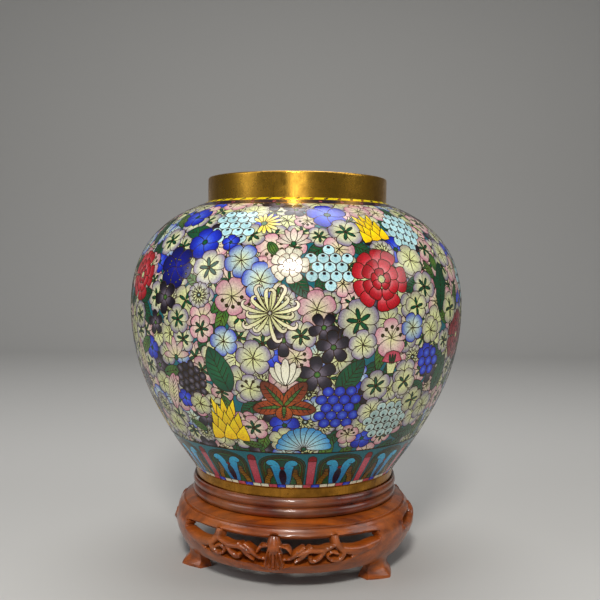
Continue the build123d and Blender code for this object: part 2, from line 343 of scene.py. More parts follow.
# %% A material from a group
def material_from(
    name, group, values, metallic=0.0, coat=0.0, bump=0.1, distance=0.0002, attribute=None
):
    """A Principled material whose colour, roughness and height come from one of the groups."""
    made = bpy.data.materials.new(name)
    made.use_nodes = True
    tree = made.node_tree
    shader = tree.nodes["Principled BSDF"]
    shader.inputs["Metallic"].default_value = metallic
    shader.inputs["Coat Weight"].default_value = coat
    shader.inputs["Coat Roughness"].default_value = 0.08
    effect = tree.nodes.new("ShaderNodeGroup")
    effect.node_tree = group
    for label, value in values.items():
        effect.inputs[label].default_value = value
    where = tree.nodes.new("ShaderNodeTexCoord")
    tree.links.new(where.outputs["Object"], effect.inputs["Place"])
    if attribute:
        source = add_node(tree, "ShaderNodeAttribute", attribute_name=attribute)
        tree.links.new(source.outputs["Color"], effect.inputs["Colour"])
    relief = add_node(tree, "ShaderNodeBump", Strength=bump, Distance=distance)
    tree.links.new(effect.outputs["Height"], relief.inputs["Height"])
    tree.links.new(effect.outputs["Colour"], shader.inputs["Base Color"])
    tree.links.new(effect.outputs["Roughness"], shader.inputs["Roughness"])
    tree.links.new(relief.outputs["Normal"], shader.inputs["Normal"])
    return made


def srgb(red, green, blue):
    """A colour given as 0-255 display values, in the linear values that shaders use."""
    value = np.array([red, green, blue]) / 255
    linear = np.where(value < 0.04045, value / 12.92, ((value + 0.055) / 1.055) ** 2.4)
    return tuple(linear.tolist())


def paint(*display):
    """A display colour in linear values, with full alpha."""
    return (*srgb(*display), 1.0)


ENAMEL = material_from(
    "fired enamel", glass_grain, {"Grain": 0.8}, bump=0.12, distance=0.0003, attribute="enamel"
)
LINING = material_from(
    "counter enamel",
    glass_grain,
    {"Colour": paint(40, 150, 160), "Grain": 0.5},
    bump=0.35,
    distance=0.0006,
)
WIRE = material_from(
    "cloison wire",
    metal_wear_and_painted_streaks,
    {"Bright": paint(68, 45, 23), "Tarnish": paint(18, 11, 7)},
    metallic=0.6,
    bump=0.05,
)
GILT = material_from(
    "gilt brass",
    metal_wear_and_painted_streaks,
    {"Bright": paint(222, 168, 62), "Tarnish": paint(120, 78, 24)},
    metallic=1.0,
    bump=0.06,
    distance=0.0001,
)
# The gilt brass again in darker colours, for the foot ring alone: painted shade, so that the ring shows darker
# than the collar.
GILT_WITH_PAINTED_SHADE = material_from(
    "gilt brass with painted shade",
    metal_wear_and_painted_streaks,
    {"Bright": paint(176, 122, 46), "Tarnish": paint(72, 44, 16)},
    metallic=1.0,
    bump=0.06,
    distance=0.0001,
)
COPPER = material_from(
    "bare copper",
    metal_wear_and_painted_streaks,
    {"Bright": paint(205, 120, 85), "Tarnish": paint(92, 48, 34)},
    metallic=1.0,
    bump=0.1,
)
TURNED = material_from(
    "turned hardwood",
    wood_figure,
    {"Dark": paint(48, 14, 6), "Light": paint(116, 42, 12)},
    coat=0.4,
    bump=0.15,
)
CARVED = material_from(
    "carved hardwood",
    wood_figure,
    {"Dark": paint(88, 32, 8), "Light": paint(172, 82, 16)},
    coat=0.3,
    bump=0.2,
)
PEG = material_from(
    "peg wood",
    wood_figure,
    {"Dark": paint(120, 84, 50), "Light": paint(190, 150, 104)},
    bump=0.2,
)
print("materials:", len(bpy.data.materials))

# %% [markdown]
# ## The finishes of the CAD parts
# Collar, copper, lining and the turned parts of the stand have their true shape already.
# They keep their meshes and only get their finish. The foot ring is the exception: its polish
# would show every flat side, so it is turned again from its own section with many more.

# %% Dress the CAD parts
FINISHES = {
    "brass_collar": GILT,
    "wire_ring_rope": GILT,
    "wire_ring_neck": GILT,
    "wire_ring_lappets": WIRE,
    "wire_ring_foot": GILT,
    "copper_lower_bowl": COPPER,
    "copper_upper_bowl": COPPER,
    "copper_base_plate": COPPER,
    "enamel_lining": LINING,
    "enamel_under_base": LINING,
    "stand_seat_ring": TURNED,
    "stand_seat_panel": TURNED,
    "stand_seam_pegs": PEG,
    "stand_seat_pegs": PEG,
}
for name, finish in FINISHES.items():
    for material_slot in nodes[name].material_slots:
        material_slot.material = finish
print("dressed", len(FINISHES), "CAD nodes")

# %% Turn the foot ring again, with more and smoother sides
SIDES = 360


def turned_section(node):
    """Corners and quads of a ring: the node's section in radius and height, its corners in
    order round their middle, set at every bearing in turn."""
    cad = cad_points(node)
    section = np.stack([np.hypot(cad[:, 0], cad[:, 1]), cad[:, 2]], -1)
    section = np.unique(np.round(section, 2), axis=0)
    about = section - section.mean(0)
    section = section[np.argsort(np.arctan2(about[:, 1], about[:, 0]))]
    turns = np.arange(SIDES) * 2 * np.pi / SIDES
    ring = np.stack([
        section[:, 0] * np.cos(turns)[:, None],
        section[:, 0] * np.sin(turns)[:, None],
        np.broadcast_to(section[:, 1], (SIDES, len(section))),
    ], -1)
    here = np.arange(SIDES * len(section)).reshape(SIDES, -1)
    onward = np.roll(here, -1, axis=0)
    quads = np.stack([here, onward, np.roll(onward, -1, axis=1), np.roll(here, -1, axis=1)], -1)
    return ring.reshape(-1, 3) * MM, quads.reshape(-1, 4)


# The foot ring takes the darker copy of the gilt brass, with its painted shade.
foot_ring = piece(
    "foot_ring", *turned_section("brass_foot_ring"), "vase", "gilt_brass", GILT_WITH_PAINTED_SHADE, ["brass_foot_ring"]
)
foot_ring.data.set_sharp_from_angle(angle=np.radians(30))

# %% [markdown]
# ## Glass colours
# Enamel is laid in as wet powder, one colour at the heart of a cell and another at its rim,
# and they run together in the fire. So each colour here is a run of three: heart, middle and
# rim.

# %% Runs of colour
RUNS = {
    "teal": [(28, 126, 130), (22, 114, 122), (16, 100, 112)],
    "lilac": [(222, 226, 148), (204, 206, 166), (122, 104, 150)],
    "cream": [(224, 228, 150), (210, 214, 156), (158, 148, 146)],
    "pink": [(226, 224, 158), (214, 188, 176), (194, 126, 148)],
    "blue_tip": [(224, 230, 162), (176, 200, 206), (16, 38, 186)],
    "royal": [(86, 122, 226), (36, 58, 204), (16, 22, 134)],
    "lime": [(206, 210, 70), (190, 200, 60), (150, 170, 50)],
    "navy": [(24, 32, 150), (14, 18, 116), (8, 10, 72)],
    "red": [(232, 150, 156), (196, 40, 52), (142, 2, 8)],
    "dark_red": [(196, 92, 100), (150, 26, 36), (92, 4, 8)],
    "black": [(138, 126, 142), (42, 34, 46), (7, 6, 9)],
    "yellow": [(228, 168, 6), (244, 208, 10), (248, 222, 30)],
    "gold_white": [(250, 214, 40), (252, 226, 90), (246, 240, 200)],
    "cyan": [(158, 208, 220), (176, 220, 226), (196, 230, 230)],
    "grey_cyan": [(150, 178, 176), (170, 200, 196), (206, 224, 214)],
    "sky": [(226, 236, 232), (150, 206, 222), (14, 132, 206)],
    "leaf": [(22, 92, 52), (18, 78, 48), (10, 56, 40)],
    "leaf_light": [(96, 128, 42), (60, 108, 48), (30, 86, 46)],
    "ochre": [(170, 132, 50), (140, 100, 34), (96, 62, 22)],
    "olive": [(96, 84, 24), (74, 66, 20), (40, 46, 18)],
    "brown": [(188, 92, 30), (150, 62, 20), (92, 38, 14)],
    "white": [(238, 236, 214), (230, 226, 200), (204, 196, 180)],
    "blush": [(234, 232, 204), (226, 210, 194), (204, 148, 156)],
    "spider": [(214, 216, 150), (226, 224, 168), (238, 224, 200)],
    "rose": [(188, 66, 86), (196, 88, 104), (176, 60, 78)],
    "crimson": [(160, 10, 18), (150, 8, 16), (120, 6, 12)],
    "aqua": [(24, 110, 170), (34, 146, 200), (60, 176, 214)],
    "ink": [(10, 16, 54), (8, 12, 44), (6, 8, 30)],
    "night": [(16, 18, 52), (12, 14, 44), (10, 10, 34)],
}
RUNS = {name: np.array([srgb(*colour) for colour in run]) for name, run in RUNS.items()}
print("glass colours:", len(RUNS))

# %% [markdown]
# ## Petals, leaves and strokes
# Almost every cell is a petal: narrow at its root, widest somewhere along it, and round or
# pointed at its tip. One formula gives them all. The curled petals and scrolls are strokes
# instead, a path with a width.

# %% Cell shapes, in millimetres, growing up from the origin
Cell = namedtuple("Cell", "outline run heart reach")


def petal(length, width, root=0.5, tip=0.5, count=6, start=0.0, bend=0.0, notch=0.0):
    """Half width = t^root (1-t)^tip scaled to the width, where t runs from root to tip;
    the tip is notched by a part of the length and the whole is bent sideways by t squared."""
    t = (1 - np.cos(np.linspace(0, np.pi, count + 1))) / 2
    peak = root / (root + tip)
    half = t**root * (1 - t) ** tip / (peak**root * (1 - peak) ** tip) * width / 2
    x = np.concatenate([half, -half[-2:0:-1]])
    along = np.concatenate([t, t[-2:0:-1]])
    y = start + along * length * (1 - notch * along**10)
    return np.stack([x + bend * length * along**2, y], -1)


def disc(radius, x=0.0, y=0.0, count=12, squash=1.0):
    """A circle or ellipse of straight steps."""
    a = np.arange(count) * 2 * np.pi / count
    return np.stack([x + radius * np.cos(a), y + radius * squash * np.sin(a)], -1)


def turned(points, degrees, x=0.0, y=0.0):
    """Points turned about the origin, against the clock, then moved."""
    a = np.radians(degrees)
    across, up = np.asarray(points, float).T
    x = across * np.cos(a) - up * np.sin(a) + x
    y = across * np.sin(a) + up * np.cos(a) + y
    return np.stack([x, y], -1)


def stroke(path, widths):
    """The outline of a path with a width at each point, rounded off by its own taper."""
    path = np.asarray(path, float)
    along = np.gradient(path, axis=0)
    along /= np.hypot(*along.T)[:, None]
    side = np.stack([along[:, 1], -along[:, 0]], -1) * (np.asarray(widths) / 2)[:, None]
    return np.concatenate([path + side, (path - side)[::-1]])


def form_path(points, rounds=3):
    """A smooth path through a few points, by cutting every corner at a quarter, repeatedly."""
    path = np.asarray(points, float)
    for _ in range(rounds):
        quarter = 0.75 * path[:-1] + 0.25 * path[1:]
        three = 0.25 * path[:-1] + 0.75 * path[1:]
        path = np.concatenate([path[:1], np.stack([quarter, three], 1).reshape(-1, 2), path[-1:]])
    return path


def cell(outline, run, heart=(0.0, 0.0), reach=None):
    """One cell, whose colour runs from its heart over a reach."""
    outline = np.asarray(outline, float)
    heart = np.asarray(heart, float)
    if reach is None:
        reach = np.hypot(*(outline - heart).T).max()
    return Cell(outline, run, heart, reach)


# %% [markdown]
# ## The flowers
# Each maker below returns cells, the lowest first, and lines: wires that are laid on the
# glass without fencing a colour, such as stamens and the veins of leaves.


# %% Blossoms with five or six petals
def blossom(
    size, run="lilac", petals=5, star=0, stamens=0, anthers=0, eye=None, dots=0, wide=1.5
):
    """Petals at equal angles round the middle, widest near their ends, so that the rim has one
    lobe for each of them."""
    cells = []
    lines = []
    for i in range(petals):
        shape = petal(size, wide * size * np.sin(np.pi / petals), 0.80, 0.40, 8)
        cells.append(cell(turned(shape, 360 * i / petals + 7), run, (0, 0), size))
    for i in range(star):
        shape = petal(0.56 * size, 0.20 * size, 0.5, 0.45, 4, 0.04 * size)
        cells.append(cell(turned(shape, 360 * i / star + 12), "leaf"))
    for i in range(stamens):
        a = np.radians(360 * i / stamens + 20)
        tip = 0.58 * size * np.array([np.sin(a), np.cos(a)])
        lines.append(np.linspace(0.1 * tip, tip, 5))
    for i in range(anthers):
        a = np.radians(150 * (i / max(anthers - 1, 1) - 0.5))
        tip = 0.55 * size * np.array([np.sin(a), np.cos(a)])
        lines.append(np.linspace(0.05 * tip, 0.9 * tip, 5))
        cells.append(cell(disc(0.09 * size, *tip, 7), "olive"))
    for i in range(dots):
        reach = size * (0.30 + 0.55 * (0.37 * i % 1))
        cells.append(cell(disc(0.5, reach * np.cos(2.4 * i), reach * np.sin(2.4 * i), 5), "lime"))
    if eye:
        cells.append(cell(disc(0.17 * size, count=8), eye))
    return cells, lines


# %% The peony: three rings of scalloped lobes round a pale heart
def peony(size, run="red"):
    """Rings rooted at 0.42, 0.20 and 0.04 of the radius; in each, a lobe overlaps the next."""
    cells = []
    for ring, (lobes, root, length, width) in enumerate(
        [(10, 0.42, 0.58, 0.52), (8, 0.20, 0.48, 0.44), (5, 0.04, 0.32, 0.32)]
    ):
        for i in range(lobes):
            shape = petal(length * size, width * size, 0.70, 0.40, 10, root * size, notch=0.05)
            a = 360 * (i + 0.5 * ring) / lobes + 8 * np.sin(3 * i + ring)
            heart = turned([(0, root * size)], a)[0]
            cells.append(cell(turned(shape, a), run, heart, length * size))
    cells.append(cell(disc(0.13 * size, 0.02 * size, 0.01 * size, 7), "cream"))
    return cells, []


# %% Round flowers: the aster and the spider chrysanthemum
def aster(size, run="lilac"):
    """Twelve blunt rays, a star of twelve points on them, and a dark eye."""
    cells = []
    for i in range(12):
        shape = petal(size, 0.62 * size, 0.7, 0.16, 4)
        cells.append(cell(turned(shape, 30 * i), run, (0, 0), size))
    for i in range(12):
        shape = petal(0.66 * size, 0.26 * size, 0.5, 1.1, 3)
        cells.append(cell(turned(shape, 30 * i + 15), "cream"))
    cells.append(cell(disc(0.20 * size, count=9), "leaf"))
    cells.append(cell(disc(0.11 * size, count=7), "grey_cyan"))
    return cells, []


def curl(size, hand=1):
    """A path given by its heading: it leans over slowly for three quarters of its length,
    then turns by 130 degrees into a hook."""
    t = np.linspace(0, 1, 15)
    heading = hand * (0.55 * t + 2.3 * np.clip((t - 0.74) / 0.26, 0, 1))
    steps = np.stack([np.sin(heading), np.cos(heading)], -1) * 1.24 * size / len(t)
    return np.cumsum(steps, axis=0)


def spider(size, run="spider", petals=16):
    """Narrow petals, each a stroke along a curl, the shorter ones laid over the longer."""
    cells = []
    for layer, scale in ((0, 1.0), (1, 0.78)):
        for i in range(layer, petals, 2):
            path = curl(scale * size, 1 if 2 * i < petals else -1)
            t = np.linspace(0, 1, len(path))
            widths = np.interp(t, [0, 0.3, 0.6, 0.85, 1], [0.03, 0.11, 0.15, 0.12, 0.05]) * size
            cells.append(cell(turned(stroke(path, widths), 360 * i / petals), run, (0, 0), size))
    return cells, []


# %% Flowers seen from the side
def lotus(size, run="blush", petals=7):
    """Pointed petals fanned over a half circle, the outer ones laid first."""
    cells = []
    for i in sorted(range(petals), key=lambda i: -abs(i - (petals - 1) / 2)):
        a = 150 * (0.5 - i / (petals - 1))
        shape = petal(size * (1 - 0.0012 * abs(a)), 0.36 * size, 0.75, 0.70, 6, bend=-0.0016 * a)
        cells.append(cell(turned(shape, a), run, (0, 0), size))
    calyx = petal(0.30 * size, 0.26 * size, 0.5, 0.5, 4)
    cells.append(cell(turned(calyx, 180, 0, 0.10 * size), "leaf"))
    return cells, []


def side_daisy(size, run="gold_white", petals=11):
    """Narrow rays over three quarters of a circle from a green eye."""
    cells = []
    for i in range(petals):
        a = 250 * (0.5 - i / (petals - 1))
        shape = petal(size * (1 - 0.35 * abs(a) / 125), 0.24 * size, 0.6, 0.35, 4, 0.12 * size)
        cells.append(cell(turned(shape, a), run, (0, 0), size))
    cells.append(cell(disc(0.17 * size, count=8), "leaf_light"))
    return cells, []


def crocus(size, run="white"):
    """Five upright petals from one root."""
    cells = []
    for a in (38, -38, 20, -20, 0):
        shape = petal(size * (1 - 0.004 * abs(a)), 0.30 * size, 0.8, 0.55, 5)
        cells.append(cell(turned(shape, a), run, (0, 0), size))
    return cells, []


def shell_fan(size, run="sky", petals=11):
    """Wedges with round ends, spread over a half circle."""
    cells = []
    for i in range(petals):
        a = 164 * (0.5 - i / (petals - 1))
        shape = petal(size, 0.31 * size, 0.9, 0.22, 7)
        cells.append(cell(turned(shape, a), run, (0, 0), size))
    cells.append(cell(disc(0.10 * size, count=8), "leaf"))
    return cells, []


def bell(size, run="rose"):
    """A flared skirt between green sepals, over a cream cup."""
    cup = [(-0.55, 0.30), (-0.30, -0.9), (0.30, -0.9), (0.55, 0.30)]
    skirt = [(-1.0, 0.15), (0.0, -0.06), (1.0, 0.15), (0.62, 0.85), (0.0, 1.02), (-0.62, 0.85)]
    cells = [
        cell(np.array(cup) * size, "cream", (0, -size), 1.6 * size),
        cell(np.array(skirt) * size, run, (0, 0), size),
    ]
    for a, x in ((25, -0.28), (-25, 0.28), (0, 0.0)):
        shape = petal(0.85 * size, 0.18 * size, 0.5, 0.8, 4)
        cells.append(cell(turned(shape, 180 + a / 3, x * size, 0.72 * size), "leaf"))
    return cells, []


def bud(size, run="leaf_light"):
    """A closed oval bud with lines along it."""
    cells = [cell(petal(2 * size, 1.15 * size, 0.55, 0.55, 7, -size), run, (0, 0), size)]
    lines = []
    for x in (-0.3, 0.0, 0.3):
        y = np.linspace(-0.7, 0.7, 7)
        lines.append(np.stack([x * np.cos(y * 1.4), y], -1) * size)
    return cells, lines


# %% Clusters: discs, berries and grapes
def cluster(size, run="cyan", dot="ink", berry=3.2, flat=0.92, shift=0.45):
    """Discs on a close-packed grid inside a circle, each lapping the one above it."""
    cells = []
    row_step, column_step = 1.62, 0.98
    rows = int(size / (berry * row_step * flat))
    for row in range(rows, -rows - 1, -1):
        y = row * berry * row_step * flat
        half_row = np.sqrt(max(size**2 - y**2, 0))
        count = int(half_row / (berry * column_step))
        count -= (count + row) % 2
        for i in range(-count, count + 1, 2):
            x = i * berry * column_step
            cells.append(cell(disc(berry, x, y, 11, flat), run, (x, y), berry))
            if dot:
                cells.append(cell(disc(0.25 * berry, x, y + shift * berry, 7, 0.8), dot))
    return cells, []


# %% Leaves
def leaf(size, run="leaf", width=0.55, veins=5, tip=0.8, bend=0.0):
    """A pointed leaf about its middle, with a midrib and paired veins as lines."""
    shape = petal(2 * size, 2 * width * size, 0.62, tip, 8, -size, bend)
    cells = [cell(shape, run, (0, 0), size)]
    y = np.linspace(-0.92, 0.88, 10)
    curve = bend * 2 * ((y + 1) / 2) ** 2
    lines = [np.stack([curve, y], -1) * size]
    for k in range(veins):
        root = -0.62 + 1.22 * k / veins
        for side in (-1, 1):
            t = np.linspace(0, 1, 5)
            x = side * t * width * 0.74 * np.sin(np.pi * np.clip((root + 1.25) / 2, 0, 1))
            rise = root + 0.34 * t
            lines.append(np.stack([x + bend * 2 * ((rise + 1) / 2) ** 2, rise], -1) * size)
    return cells, lines


def spray(size, run="brown"):
    """Five broad leaves from one root, each with a green midrib."""
    cells = []
    lines = []
    for a, reach in ((98, 0.92), (-98, 0.92), (40, 1.0), (-40, 1.0), (178, 0.5)):
        shape = petal(reach * size, 0.50 * size, 0.62, 0.62, 7)
        cells.append(cell(turned(shape, a), run, (0, 0), size))
        rib = petal(0.86 * reach * size, 0.12 * size, 0.4, 0.9, 5)
        cells.append(cell(turned(rib, a), "leaf_light"))
        for k in range(4):
            for side in (-1, 1):
                root = 0.22 + 0.16 * k
                vein = np.array([(0, root), (side * 0.09, root + 0.05), (side * 0.16, root + 0.12)])
                lines.append(turned(vein * reach * size, a))
    return cells, lines


def shoot(size, run="yellow", rows=4):
    """Pointed scales, three and two to a row by turns; the outer ones lean out, and each row
    is laid over the one above it."""
    cells = []
    for row in range(rows, -1, -1):
        y = (1.25 * row / rows - 1.0) * size
        narrow = 1 - 0.45 * row / rows
        for i in (-1, 1, 0) if row % 2 == 0 else (-0.5, 0.5):
            x = 0.50 * size * narrow * i
            scale = petal(0.88 * size, 0.62 * size * narrow, 0.22, 1.15, 5)
            cells.append(cell(turned(scale, -16 * i, x, y), run, (x, y), 0.9 * size))
    return cells, []


print("flower makers ready")

# %% [markdown]
# ## Laying out the flowers
# A maker fills a jar like this with large flowers first in mind and small ones between them.
# The list says which flower grows where: its size in millimetres, its bearing from the front
# in degrees, its height above the ground and how far it is turned. The back gets the same
# garden in another order, and small flowers chosen by a seeded draw fill in underneath.

# %% The garden's kinds
KINDS = {
    "peony": peony,
    "dark_peony": lambda size: peony(size, "dark_red"),
    "star_lilac": lambda size: blossom(size, "lilac", star=5),
    "star_pink": lambda size: blossom(size, "pink", star=5),
    "star_cream": lambda size: blossom(size, "cream", star=4),
    "star_blue": lambda size: blossom(size, "royal", star=5),
    "stamen_cream": lambda size: blossom(size, "cream", stamens=9),
    "stamen_lilac": lambda size: blossom(size, "lilac", stamens=9),
    "stamen_pink": lambda size: blossom(size, "pink", stamens=8),
    "stamen_blue": lambda size: blossom(size, "blue_tip", stamens=8),
    "anther_pink": lambda size: blossom(size, "pink", anthers=5),
    "anther_lilac": lambda size: blossom(size, "lilac", anthers=4),
    "deep_blue": lambda size: blossom(size, "navy", 6, dots=14),
    "royal_blue": lambda size: blossom(size, "royal", 5, eye="leaf"),
    "black": lambda size: blossom(size, "black", 5, eye="leaf_light", wide=1.12),
    "aster": aster,
    "spider": spider,
    "lotus": lotus,
    "pink_lotus": lambda size: lotus(size, "pink", 5),
    "daisy": side_daisy,
    "crocus": crocus,
    "fan": shell_fan,
    "bell": bell,
    "bud": bud,
    "discs": lambda size: cluster(size, "cyan", "ink"),
    "scales": lambda size: cluster(size, "cyan", "leaf", 2.5, 1.3, 0.85),
    "berries": lambda size: cluster(size, "royal", None, 3.1, 0.95),
    "grapes": lambda size: cluster(size, "black", None, 2.2, 1.1),
    "pale_berries": lambda size: cluster(size, "grey_cyan", "ink", 3.0, 0.9, -0.40),
    "leaf": leaf,
    "long_leaf": lambda size: leaf(size, "leaf", 0.36, 6, 0.7, 0.06),
    "young_leaf": lambda size: leaf(size, "leaf_light", 0.42, 4),
    "feather": lambda size: leaf(size, "pink", 0.34, 6, 0.6, 0.12),
    "spray": spray,
    "shoot": shoot,
    "rose_white": lambda size: peony(size, "white"),
}

# %% The garden's plan: kind, size, bearing, height, turn
GARDEN = [
    ("long_leaf", 13, -64, 198, 25), ("stamen_blue", 9, -71, 190, 0), ("star_lilac", 9, -49, 191, 20),
    ("royal_blue", 9, -45, 204, 0), ("discs", 12, -23, 199, 0), ("royal_blue", 10, -32, 190, 15),
    ("royal_blue", 5, -22, 190, 0), ("deep_blue", 12, -41, 177, 10), ("anther_pink", 10, -19, 163, 190),
    ("star_lilac", 10, -27.5, 177, 5), ("stamen_blue", 9.5, -17, 181, 30), ("stamen_blue", 10, -10.5, 171, 0),
    ("aster", 7, -30, 163, 0), ("black", 9, -44, 161, 20), ("black", 7, -49, 147, 0),
    ("star_lilac", 8, -38, 150, 0), ("star_pink", 7.5, -29, 146, 36), ("stamen_blue", 8, -21.5, 140, 10),
    ("daisy", 9.5, -12, 200, -70), ("bud", 4.5, -7.5, 187, 30), ("lotus", 10, -1, 190, 0),
    ("royal_blue", 11, 12, 205, 0), ("star_lilac", 9.5, 17, 196, 10), ("discs", 11, 10, 178, 0),
    ("rose_white", 10, -2, 179, 0), ("stamen_pink", 10, 6, 157, 0), ("star_lilac", 8, 1.5, 144, 20),
    ("scales", 12, 42, 198, -20), ("shoot", 10, 27, 199, 10), ("stamen_cream", 9, 39, 182, 0),
    ("young_leaf", 6, 47, 177, 30), ("bud", 5, 51, 181, 0), ("long_leaf", 14, 52, 168, -8),
    ("star_lilac", 9, 43, 168, 30), ("star_cream", 8, 39, 158, 0), ("star_lilac", 11.5, 18.5, 151, 0),
    ("anther_pink", 10.5, 29.5, 142, 0), ("stamen_blue", 8, 37.5, 147, 15), ("stamen_cream", 7.5, 46, 145, 0),
    ("peony", 17, 26, 172, 0), ("dark_peony", 15, 66, 140, 0), ("peony", 15, -61, 172, 0),
    ("spider", 15, -7.5, 155, 0), ("star_cream", 9, 58, 156, 0), ("stamen_lilac", 9, 60, 186, 0),
    ("star_lilac", 8, -60, 150, 0), ("feather", 11, -62, 126, 15), ("pink_lotus", 11, -40, 130, 5),
    ("leaf", 13, -24, 125, 22), ("grapes", 11, -35, 118, 20), ("feather", 12, -46, 110, -12),
    ("royal_blue", 5.5, -40, 107, 0), ("stamen_cream", 7, -33.5, 105, 0), ("young_leaf", 6, -38, 92, 60),
    ("stamen_lilac", 9.5, -12.5, 132, 0), ("anther_lilac", 8, -14, 116, 0), ("star_pink", 8, -14.5, 94, 0),
    ("young_leaf", 5.5, -16, 84, 80), ("shoot", 13, -24.5, 97, 0), ("black", 8, 8, 148, 30),
    ("black", 9, 11, 138, 0), ("black", 10, 6.5, 124, 0), ("leaf", 11, 17, 123, -35),
    ("stamen_lilac", 8, 20, 139, 0), ("star_lilac", 9, 26, 117, 0), ("bell", 6.5, 30.5, 129, 0),
    ("star_cream", 8, 37, 118, 40), ("berries", 12, 14, 106, 0), ("stamen_lilac", 8.5, 26.5, 103, 0),
    ("anther_pink", 6.5, 19.5, 90, 0), ("pale_berries", 12, 34, 97, 0), ("berries", 9, 47, 128, 0),
    ("star_cream", 8, 43.5, 107, 0), ("leaf", 11, 56, 120, -10), ("stamen_lilac", 9, 52, 102, 0),
    ("spray", 18, -3.5, 107, 0), ("crocus", 15, -3, 118, 0), ("fan", 15, 3.5, 82, 0),
    ("star_pink", 8, 64, 104, 0), ("aster", 8, -56, 100, 0), ("stamen_cream", 8, -52, 90, 0),
    ("discs", 10, 74, 172, 0), ("star_lilac", 9, 76, 196, 0), ("deep_blue", 10, 78, 124, 0),
    ("spider", 13, -78, 152, 0), ("star_pink", 9, -76, 110, 0), ("shoot", 11, -72, 92, 0),
]
SWAP = {
    "peony": "spider", "spider": "peony", "spray": "leaf", "fan": "lotus", "lotus": "fan", "shoot": "crocus",
    "crocus": "shoot", "star_lilac": "stamen_blue", "stamen_blue": "star_lilac", "discs": "berries",
    "berries": "discs", "black": "star_blue", "deep_blue": "aster", "leaf": "spray", "aster": "deep_blue",
}
FRONT_HALF = 72
BACK = [
    (SWAP.get(kind, kind), size, 180 - bearing, height, -turn)
    for kind, size, bearing, height, turn in GARDEN
    if abs(bearing) < FRONT_HALF
]
FILLERS = [
    "star_lilac", "star_pink", "stamen_cream", "stamen_lilac",
    "stamen_blue", "stamen_pink", "leaf", "star_cream",
    "royal_blue", "black", "anther_pink", "young_leaf",
    "star_lilac", "aster", "stamen_lilac", "leaf",
]
print("planned flowers:", len(GARDEN) + len(BACK))


# %% Place flowers on the strip
def laid(flower, u, s, turn, number):
    """A flower's cells and lines on the strip. Across, a millimetre of the drawing is
    BELLY / radius of the strip, so that shapes keep their proportions on the narrower wall.
    Each cell's colour is a little stronger or weaker than its run."""
    cells, lines = flower

    def carry(points):
        points = turned(points, turn)
        up = s + points[:, 1]
        return np.stack([u + points[:, 0] * BELLY / radius_at(up), up], -1)

    done = []
    for k, c in enumerate(cells):
        strength = 1 + 0.13 * np.sin(91.7 * number + 13.1 * k)
        heart = carry(c.heart[None])[0]
        done.append((carry(c.outline), RUNS[c.run] * strength, heart, c.reach, number))
    return done, [(carry(line), number) for line in lines]


SEAM_OVERLAP = 40


def garden_cells(plan, low, high, spacing, seed):
    """Every cell and line of the flower field: a seeded underlayer, then the plan in its
    order. A flower within SEAM_OVERLAP of the strip's ends is laid at both of them."""
    draw = np.random.default_rng(seed)
    around = np.pi * BELLY
    seeds = []
    for row, s in enumerate(np.arange(low, high, spacing * 0.86)):
        count = int(2 * np.pi * radius_at(s) / spacing)
        u = (np.arange(count) + 0.5 * (row % 2)) / count * 2 * around - around
        seeds.append(np.stack([u + draw.normal(0, 1.2, count), s + draw.normal(0, 1.0, count)], -1))
    seeds = np.concatenate(seeds)
    seeds = seeds[draw.permutation(len(seeds))]
    flowers = []
    for u, s in seeds:
        kind = FILLERS[draw.integers(len(FILLERS))]
        flowers.append((kind, draw.uniform(6.5, 9.0), u, s, draw.uniform(0, 360)))
    for kind, size, bearing, height, turn in plan:
        flowers.append((kind, size, np.radians(bearing) * BELLY, s_at_height(height), turn))
    cells, lines = [], []
    for number, (kind, size, u, s, turn) in enumerate(flowers):
        u = (u + around) % (2 * around) - around
        copies = [u] + ([u - np.sign(u) * 2 * around] if abs(u) > around - SEAM_OVERLAP else [])
        for place_u in copies:
            some, more = laid(KINDS[kind](size), place_u, s, turn, number)
            cells += some
            lines += more
    return cells, lines


# %% [markdown]
# ## From overlapping flowers to a mosaic
# The cells are drawn one over another, but glass can't overlap: what shows is the topmost
# shape at each place. A constrained Delaunay triangulation cuts the strip along every outline
# at once and says for each triangle which outlines hold it, so the topmost one owns it. Where
# two owners meet there is a wire.

# %% Cut the strip along every outline
CLOSE = 1e-5
JITTER = 0.12


